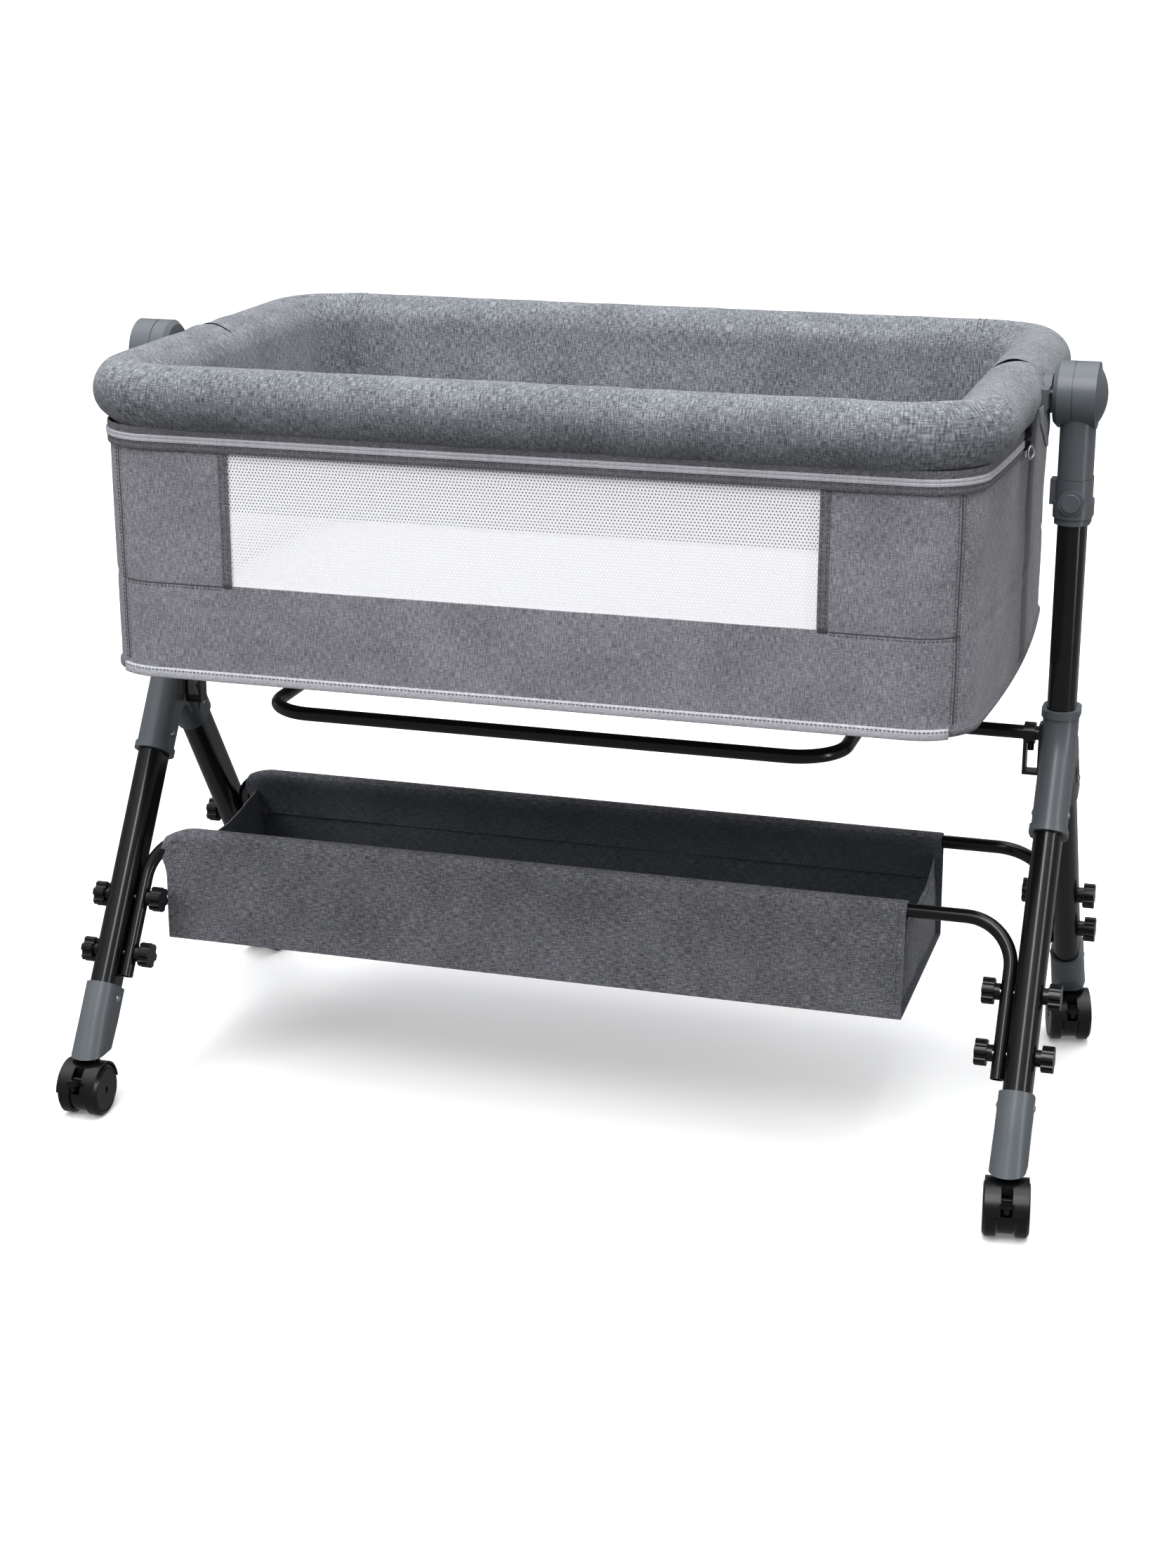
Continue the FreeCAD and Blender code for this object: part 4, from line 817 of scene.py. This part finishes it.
def tape(name, line, width, thickness, material):
    """A flat rounded band along a line of (middle, outward, across), with its ends closed."""
    sides = 12
    rows = []
    for k in range(sides):
        a = 2 * math.pi * k / sides
        c, s = (math.copysign(abs(f) ** 0.55, f) for f in (math.cos(a), math.sin(a)))
        rows.append([m + out * (c * thickness / 2) + along * (s * width / 2) for m, out, along in line])
    band = cloth_grid(name, rows, [material], closed=True)
    work = bmesh.new()
    work.from_mesh(band.data)
    work.verts.ensure_lookup_table()
    for end in (0, len(line) - 1):
        work.faces.new([work.verts[k * len(line) + end] for k in range(sides)])
    work.to_mesh(band.data)
    work.free()
    close_up(band)
    return band


UP = Vector((0, 0, 1))
for front, half in ((True, "front"), (False, "rear")):
    for side in (-1, 1):
        line = []
        for z in levels([WINDOW_Z0 - 2 * MM, WINDOW_Z1 + 2 * MM], 6 * MM):
            p = Vector((side * (WINDOW_X + TAPE_W / 2 - 2 * MM), BODY_Y, 0))
            line.append((facing(wall_place(p, z, 0.2 * MM), front), facing(Vector((0, 1, 0)), front),
                         Vector((1, 0, 0))))
        on_half(tape(f"window_tape_{half}_{side + 1}", line, TAPE_W, 1.6 * MM, tape_cloth), front)


# ---------------------------------------------------------------- stitching of the body
# Joins between the cuts of cloth, each drawn as a thin dark band of painted seam shadow, and along
# them rows of lockstitch in dark grey thread: double at the corners, one at the foot of the window,
# one down each side of its tapes.  A double row crosses the rear rail's cover near each bend.
STITCH_PITCH = 3.6 * MM
STITCH_LENGTH = 2.5 * MM
THREAD_R = 0.42 * MM
DOUBLE_ROW = 3.2 * MM          # each of two rows from its seam
LIES_PROUD = 0.15 * MM         # of the cloth
BEND_END_Y = 0.19              # the outline behind this runs along the back

# Dark grey thread for the stitches; the same material colours the thin dark bands along the joins, which are
# painted seam shadow.
thread_and_shade_of_seams, shader = new_material("polyester_thread_and_painted_shadow_of_seams", {"Roughness": 0.6})
tint(shader, speckle(object_place(shader), 1500.0), "#3c3d41", "#55565a")

stitch_tree = bpy.data.node_groups.new("stitches", "GeometryNodeTree")
stitch_tree.interface.new_socket(name="Seam", in_out="INPUT", socket_type="NodeSocketGeometry")
given = interface(stitch_tree, (("Pitch", "Float"), ("Length", "Float"), ("Radius", "Float"),
                                ("Material", "Material")))
seam = add(stitch_tree, "GeometryNodeMeshToCurve", None, {"Mesh": given["Seam"]})
spots = add(stitch_tree, "GeometryNodeCurveToPoints", {"mode": "LENGTH"}, {
    "Curve": seam.outputs[0], "Length": given["Pitch"]})
bead = add(stitch_tree, "GeometryNodeMeshUVSphere", None, {"Segments": 6, "Rings": 4, "Radius": 1.0})
size = add(stitch_tree, "ShaderNodeCombineXYZ", None, {
    0: given["Radius"], 1: given["Radius"], 2: calc("MULTIPLY", given["Length"], 0.5)})
sewn = add(stitch_tree, "GeometryNodeInstanceOnPoints", None, {
    "Points": spots.outputs["Points"], "Instance": bead.outputs["Mesh"],
    "Rotation": spots.outputs["Rotation"], "Scale": size.outputs[0]})
close_tree(stitch_tree, sewn.outputs[0])


def stitches(name, seams):
    """Stitches along lines of points."""
    points, edges = [], []
    for line in seams:
        edges += [(len(points) + i, len(points) + i + 1) for i in range(len(line) - 1)]
        points += line
    base = bpy.data.meshes.new(name)
    base.from_pydata(points, edges, [])
    rows = made_by(stitch_tree, name, {"Pitch": STITCH_PITCH, "Length": STITCH_LENGTH, "Radius": THREAD_R,
                                       "Material": thread_and_shade_of_seams}, base)
    return rows


def seam_corner(outline, side):
    """The outline's point where one side's corner seam runs."""
    return min(outline, key=lambda p: (p - Vector((side * CORNER_SEAM_X[side], BODY_Y - 10 * MM, 0))).length)


def window_foot(outline, side, start):
    """The outline from a place beside the window to the corner seam."""
    return [p for p in outline if start < side * p.x < CORNER_SEAM_X[side] and p.y > BEND_END_Y]


def body_seams(front, top):
    """Lines of stitches on one half of the body."""
    outline = half_outline(0.0, OUTLINE_STEP)
    seams = []
    for side in (-1, 1):
        corner = seam_corner(outline, side)
        along = outward(corner).cross(UP)
        for shift in (-DOUBLE_ROW, DOUBLE_ROW):
            seams.append([wall_place(corner + along * shift, z, LIES_PROUD)
                          for z in levels([WALL_LOW + 8 * MM, top - 6 * MM], 8 * MM)])
        for x in (WINDOW_X + 0.6 * MM, WINDOW_X + TAPE_W - 4 * MM):
            seams.append([wall_place(Vector((side * x, BODY_Y, 0)), z, 1.1 * MM)
                          for z in levels([WINDOW_Z0, WINDOW_Z1], 8 * MM)])
        seams.append([wall_place(p, WINDOW_Z0 - 3.4 * MM, LIES_PROUD)
                      for p in window_foot(outline, side, WINDOW_X + TAPE_W)])
    return [[facing(p, front) for p in line] for line in seams]


def seam_shadow_lines(front, top):
    """Lines of (middle, outward, across) along the joins between the cuts of one half, for the thin dark bands
    of painted seam shadow.
    """
    outline = half_outline(0.0, OUTLINE_STEP)
    for side in (-1, 1):
        corner = seam_corner(outline, side)
        across = facing(outward(corner).cross(UP), front)
        for upright in (True, False):
            line = ([(corner, z) for z in levels([WALL_LOW + 6 * MM, top - 8 * MM], 6 * MM)] if upright else
                    [(p, WINDOW_Z0 - 1.0 * MM) for p in window_foot(outline, side, WINDOW_X - 1 * MM)])
            yield [(facing(wall_place(p, z, 0.1 * MM), front), facing(outward(p), front),
                    across if upright else UP) for p, z in line]


def laid_on(pieces, line, proud):
    """Moves a line's points onto the nearest of some pieces' surfaces."""
    trees = []
    for piece in pieces:
        mesh = piece.data
        trees.append(BVHTree.FromPolygons([v.co for v in mesh.vertices], [f.vertices for f in mesh.polygons]))
    moved = []
    for point in line:
        place, normal, _, _ = min((tree.find_nearest(point) for tree in trees), key=lambda hit: hit[3])
        moved.append(place + normal * proud)
    return moved


rail_seams = []
for side in (-1, 1):
    for shift in (-3 * MM, 3 * MM):
        x = side * (RAIL_X - RAIL_BEND - 4 * MM) + shift
        ring = [math.radians(-40 + 5 * k) for k in range(41)]
        over = [Vector((x, RAIL_Y + RAIL_R * math.cos(a), RAIL_Z + RAIL_R * math.sin(a))) for a in ring]
        heights = levels([SKIRT_LOW + 34 * MM, RAIL_Z - 12 * MM], 6 * MM)
        down = [Vector((x, RAIL_Y - RAIL_R - 3 * MM, z)) for z in heights[::-1]]
        rail_seams.append(laid_on([rear_rail_cover, rear_skirt], over + down, 0.25 * MM))
on_half(stitches("rail_stitches", rail_seams), False)

for front, half, top in ((True, "front", WALL_TOP), (False, "rear", HUNG_TOP)):
    # a thin dark band in the thread's material along each join: painted seam shadow
    for number, line in enumerate(seam_shadow_lines(front, top)):
        on_half(tape(f"{half}_seam_shadow_{number}", line, 1.2 * MM, 1.1 * MM, thread_and_shade_of_seams), front)
    on_half(stitches(half + "_stitches", body_seams(front, top)), front)


# ---------------------------------------------------------------- mattress
# A thin foam pad in a white cotton cover, lying on the base board.
cotton, shader = new_material("white_cotton_sateen", {"Roughness": 0.85, "Sheen Weight": 0.2})
place = object_place(shader)
thread_x, thread_y = (add(shader.id_data, "ShaderNodeTexWave", {"bands_direction": axis}, {
    "Vector": place, "Scale": 260.0}).outputs[1] for axis in "XY")
tint(shader, speckle(place, 12.0, 3.0), "#c0c0c5", "#cfcfd3")
emboss(shader, calc("MAXIMUM", thread_x, thread_y), 0.3, 0.15 * MM)

mattress_cover = linked("mattress_cover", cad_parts["mattress"].data.copy())
close_up(mattress_cover)
remesh = mattress_cover.modifiers.new("even", "REMESH")
remesh.mode = "VOXEL"
remesh.voxel_size = 6 * MM
apply_modifiers(mattress_cover)
low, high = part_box("mattress")
edge = [v.index for v in mattress_cover.data.vertices if v.co.z < low.z + 8 * MM]
fill_out(mattress_cover, edge, 3.0, 3.0 * MM)
refine(mattress_cover)
mattress_cover.data.materials.clear()
mattress_cover.data.materials.append(cotton)
mattress_cover.data.shade_smooth()
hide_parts("mattress")
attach(mattress_cover, "bassinet")


# ---------------------------------------------------------------- bottom binding
# A folded satin tape, sewn round the foot of the body in front and behind, its ends lapped at the
# corners; the two short ends are piped in the body's own cloth.
BINDING_Z = 447.5 * MM
BINDING_JOINT_X = 371 * MM
satin_tape = heather("grey_satin_tape", "#9d9da3", "#b8b8be", "#cecdd4", roughness=0.5)

ring = half_outline(-0.6 * MM, 6 * MM)
ring += [Vector((p.x, -p.y, 0)) for p in ring[::-1]]
runs = {"front": [p for p in ring if p.y < 0 and abs(p.x) < BINDING_JOINT_X],
        "rear": [p for p in ring if p.y > 0 and abs(p.x) < BINDING_JOINT_X],
        "right": sorted((p for p in ring if p.x > BINDING_JOINT_X - 6 * MM), key=lambda p: p.y),
        "left": sorted((p for p in ring if p.x < -BINDING_JOINT_X + 6 * MM), key=lambda p: p.y)}
for run, points in runs.items():
    satin = run in ("front", "rear")
    line = [(p + outward(p) * (0.0 if satin else -1.2 * MM) + UP * BINDING_Z, outward(p), UP) for p in points]
    width, thickness, cloth = (9.5 * MM, 4.4 * MM, satin_tape) if satin else (6.0 * MM, 4.4 * MM, tape_cloth)
    band = tape(f"foot_binding_{run}", line, width, thickness, cloth)
    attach(band, "bassinet")
    if run == "front":
        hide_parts("bottom_binding")
binding_seams = [[p + outward(p) * 2.3 * MM + UP * (BINDING_Z + 3.0 * MM) for p in runs[run]]
                 for run in ("front", "rear")]
on_half(stitches("binding_stitches", binding_seams), False)


# ---------------------------------------------------------------- zip
# A coil zip that opens the front half: a pale satin coil between two tapes of the body's cloth,
# under the front rail's cover, with a black slider, a steel ring pull and a white end at the right.
ZIP_START = 54 * MM
ZIP_PARTS = (                  # name, low and high edge in mm, how far it stands out, how thick
    ("zip_upper_tape", 660.2, 667.0, 0.8, 1.8),
    ("zip_coil_above", 657.3, 660.6, 1.7, 2.6),
    ("zip_coil", 654.2, 657.6, 1.7, 2.6),
    ("zip_lower_tape", 647.2, 654.4, 1.0, 1.9))
ZIP_SEAMS = ((663.2, 1.3), (649.2, 1.9), (652.6, 1.9))       # height and how far out, in mm

zip_path = [Vector((p.x, -p.y, 0)) for p in half_outline(0.0, 6 * MM) if p.y > ZIP_START]
for name, z0, z1, proud, thickness in ZIP_PARTS:
    line = [(p + outward(p) * proud * MM + UP * ((z0 + z1) / 2 * MM), outward(p), UP) for p in zip_path]
    cloth = satin_tape if "coil" in name else tape_cloth
    band = tape(name, line, (z1 - z0) * MM, thickness * MM, cloth)
    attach(band, "front_rail")
    if name == "zip_coil":
        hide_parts("zipper")
zip_seams = [[p + outward(p) * (proud + 0.1) * MM + UP * (z * MM) for p in zip_path] for z, proud in ZIP_SEAMS]
zip_stitches = stitches("zip_stitches", zip_seams)
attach(zip_stitches, "front_rail")


def torus(work, place, radius, tube, sides=28, section=10, stretch=1.0):
    """Adds a ring in the local XZ plane to a bmesh."""
    grid = []
    for i in range(sides):
        a = 2 * math.pi * i / sides
        ring_dir = Vector((math.cos(a), 0, math.sin(a)))
        circle = []
        for j in range(section):
            b = 2 * math.pi * j / section
            q = ring_dir * (radius + tube * math.cos(b)) + Vector((0, tube * math.sin(b), 0))
            q.z *= stretch
            circle.append(work.verts.new(place @ q))
        grid.append(circle)
    for i in range(sides):
        for j in range(section):
            k, m = (i + 1) % sides, (j + 1) % section
            work.faces.new((grid[i][j], grid[k][j], grid[k][m], grid[i][m]))


slider_at = Matrix.Translation((BODY_X + BODY_CROWN + 2.6 * MM, -ZIP_START - 3 * MM, 656.5 * MM))
work = bmesh.new()
rounded_box(work, slider_at, (5.0 * MM, 8.0 * MM, 9.5 * MM), 1.4 * MM)
bridge = slider_at @ Matrix.Translation((3.0 * MM, 0, 1.5 * MM))
rounded_box(work, bridge, (2.2 * MM, 2.4 * MM, 5.0 * MM), 0.7 * MM)
shaped("zip_slider", work, black_nylon, "front_rail")
work = bmesh.new()
turn = Matrix.Rotation(math.radians(60), 4, "Z")
hang = slider_at @ Matrix.Translation((4.4 * MM, 0.6 * MM, -6.5 * MM)) @ turn
torus(work, hang, 3.9 * MM, 1.1 * MM, stretch=1.4)
shaped("zip_ring_pull", work, zinc_steel, "front_rail")
work = bmesh.new()
rounded_box(work, Matrix.Translation((BODY_X + BODY_CROWN + 2.0 * MM, -ZIP_START + 9 * MM, 648 * MM)),
            (1.6 * MM, 7.0 * MM, 8.0 * MM), 0.5 * MM)
shaped("zip_end_tape", work, white_net, "front_rail")


# ---------------------------------------------------------------- storage basket
# A trough of heather cloth with a dark coated inside.  Its long sides are folded over the two
# bars as sleeves, and at the left they follow the bars a little way round their bends.
basket_low, basket_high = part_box("storage_basket")
LEG_TILT = math.radians(33.7)
BASKET_BAR_Z = 238 * MM
BASKET_BAR_Y = 96.7 * MM
BASKET_BEND_X = -373 * MM      # the bars start to bend down here
BASKET_BEND_R = 44 * MM
BASKET_LEFT = -401 * MM
BASKET_RIGHT = basket_high.x
BASKET_WALL_X = -396 * MM      # the left end panel
SLEEVE_R = 8 * MM
BASE_Z = basket_low.z + 1.5 * MM
BASE_Y = basket_high.y - 1.5 * MM
END_DIP = 15 * MM
BASKET_T = 1.4 * MM
HEM_DEEP = 40 * MM             # how far the sleeve's hem hangs down inside
HEM_IN = 5.2 * MM              # and how far in from the bar its edge lies
basket_cloth = heather("heather_basket_linen", "#47484c", "#6a6b70", "#929399", thread=0.9 * MM)
dark_cloth = heather("coated_charcoal_cloth", "#3f4348", "#53575d", "#696d73", roughness=0.75)


def bar_drop(x):
    """How far the basket bars have gone down and outwards at a place along the crib."""
    past = min(BASKET_BEND_R, max(0.0, BASKET_BEND_X - x))
    fall = BASKET_BEND_R - math.sqrt(BASKET_BEND_R ** 2 - past ** 2)
    return fall * math.cos(LEG_TILT), fall * math.sin(LEG_TILT)


def trough_row(x):
    """Front half of the trough's section at x: inner hem, over the bar, down the wall to the base."""
    down, aside = bar_drop(x)
    bar_y, bar_z = -(BASKET_BAR_Y + aside), BASKET_BAR_Z - down
    share = (x - BASKET_LEFT) / (BASKET_RIGHT - BASKET_LEFT)
    belly = math.sin(math.pi * min(1.0, max(0.0, share)))
    points = []
    for k in range(6):
        t = k / 6
        points.append((bar_y - HEM_IN + t * t * (SLEEVE_R + HEM_IN), bar_z - HEM_DEEP * (1 - t)))
    for k in range(11):
        a = math.pi * k / 10
        points.append((bar_y + SLEEVE_R * math.cos(a), bar_z + SLEEVE_R * math.sin(a)))
    top_y, top_z = points[-1]
    wall_steps = 14
    for k in range(1, wall_steps + 1):
        t = k / wall_steps
        y = top_y + (-BASE_Y - top_y) * t
        z = top_z + (BASE_Z - top_z) * t
        at = Vector((x, 0, z))
        wave = crease(at, 80 * MM, 2.2 * MM, 8.0) + crease(at + Vector((0, 1, 0)), 24 * MM, 0.7 * MM, 8.5)
        y += (wave + 2.0 * MM * belly) * math.sin(math.pi * t) * 0.9
        points.append((y, z))
    for k in range(1, 10):
        t = k / 9
        sag = 5.0 * MM * belly * math.sin(math.pi * t / 2)
        points.append((-BASE_Y + BASE_Y * t, BASE_Z - sag * 0.6))
    near_end = max(0.0, 1 - (x - BASKET_LEFT) / (22 * MM))
    flap = [5 * MM * near_end * math.exp(-((z - BASKET_BAR_Z + 14 * MM) / (13 * MM)) ** 2) for _, z in points]
    return [Vector((x - shift, y, z)) for shift, (y, z) in zip(flap, points)]


rows = []
for x in levels([BASKET_LEFT, BASKET_BEND_X, BASKET_RIGHT], 6 * MM):
    half_row = trough_row(x)
    rows.append(half_row + [Vector((p.x, -p.y, p.z)) for p in half_row[-2::-1]])
trough = cloth_grid("basket_trough", rows, [basket_cloth, dark_cloth])
base_face = min(trough.data.polygons, key=lambda f: f.center.z + abs(f.center.y) + abs(f.center.x))
if base_face.normal.z > 0:
    trough.data.flip_normals()
thicken(trough, BASKET_T, lined=True)
for face in trough.data.polygons:
    at_bar = abs(face.center.y) < BASKET_BAR_Y + 5.6 * MM and face.center.z > BASKET_BAR_Z - 42 * MM
    if at_bar and face.material_index == 0 and face.center.z < BASKET_BAR_Z + 5 * MM:
        face.material_index = 1
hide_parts("storage_basket")
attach(trough, "stand")


def basket_end(name, x, side):
    """An end panel set in between the long sides, its top edge hanging in a shallow curve."""
    rows = []
    for k in range(15):
        share = k / 14
        row = []
        for j in range(25):
            across = 2 * j / 24 - 1
            top = BASKET_BAR_Z - 12 * MM - END_DIP * (1 - across ** 2)
            z = BASE_Z + (top - BASE_Z) * share
            lean = (z - BASE_Z) / (BASKET_BAR_Z - BASE_Z)
            half_y = BASE_Y + (BASKET_BAR_Y + SLEEVE_R * 0.9 - BASE_Y) * lean - 0.8 * MM
            bulge = 4 * MM * (1 - across ** 2) * math.sin(math.pi * share * 0.9)
            wave = crease(Vector((x, across * 0.11, z)), 32 * MM, 2.4 * MM, 9.0)
            row.append(Vector((x + side * (bulge + wave - 2 * MM), across * half_y, z)))
        rows.append(row)
    piece = cloth_grid(name, rows, [basket_cloth, dark_cloth])
    if piece.data.polygons[30].normal.x * side < 0:
        piece.data.flip_normals()
    thicken(piece, BASKET_T, lined=True)
    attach(piece, "stand")
    return rows


right_rows = basket_end("basket_right_end", BASKET_RIGHT - 5 * MM, 1)
left_rows = basket_end("basket_left_end", BASKET_WALL_X, -1)
basket_seams = []
for x in (BASKET_RIGHT - 6.5 * MM, BASKET_LEFT + 8 * MM):
    half_row = [p + Vector((0, -0.75 * MM, 0)) for p in trough_row(x)[12:30]]
    basket_seams += [half_row, [Vector((p.x, -p.y, p.z)) for p in half_row]]
for rows, side in ((right_rows, 1), (left_rows, -1)):
    basket_seams.append([p + Vector((side * 0.9 * MM, 0, 0)) for p in rows[13]])
basket_stitches = stitches("basket_stitches", basket_seams)
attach(basket_stitches, "stand")
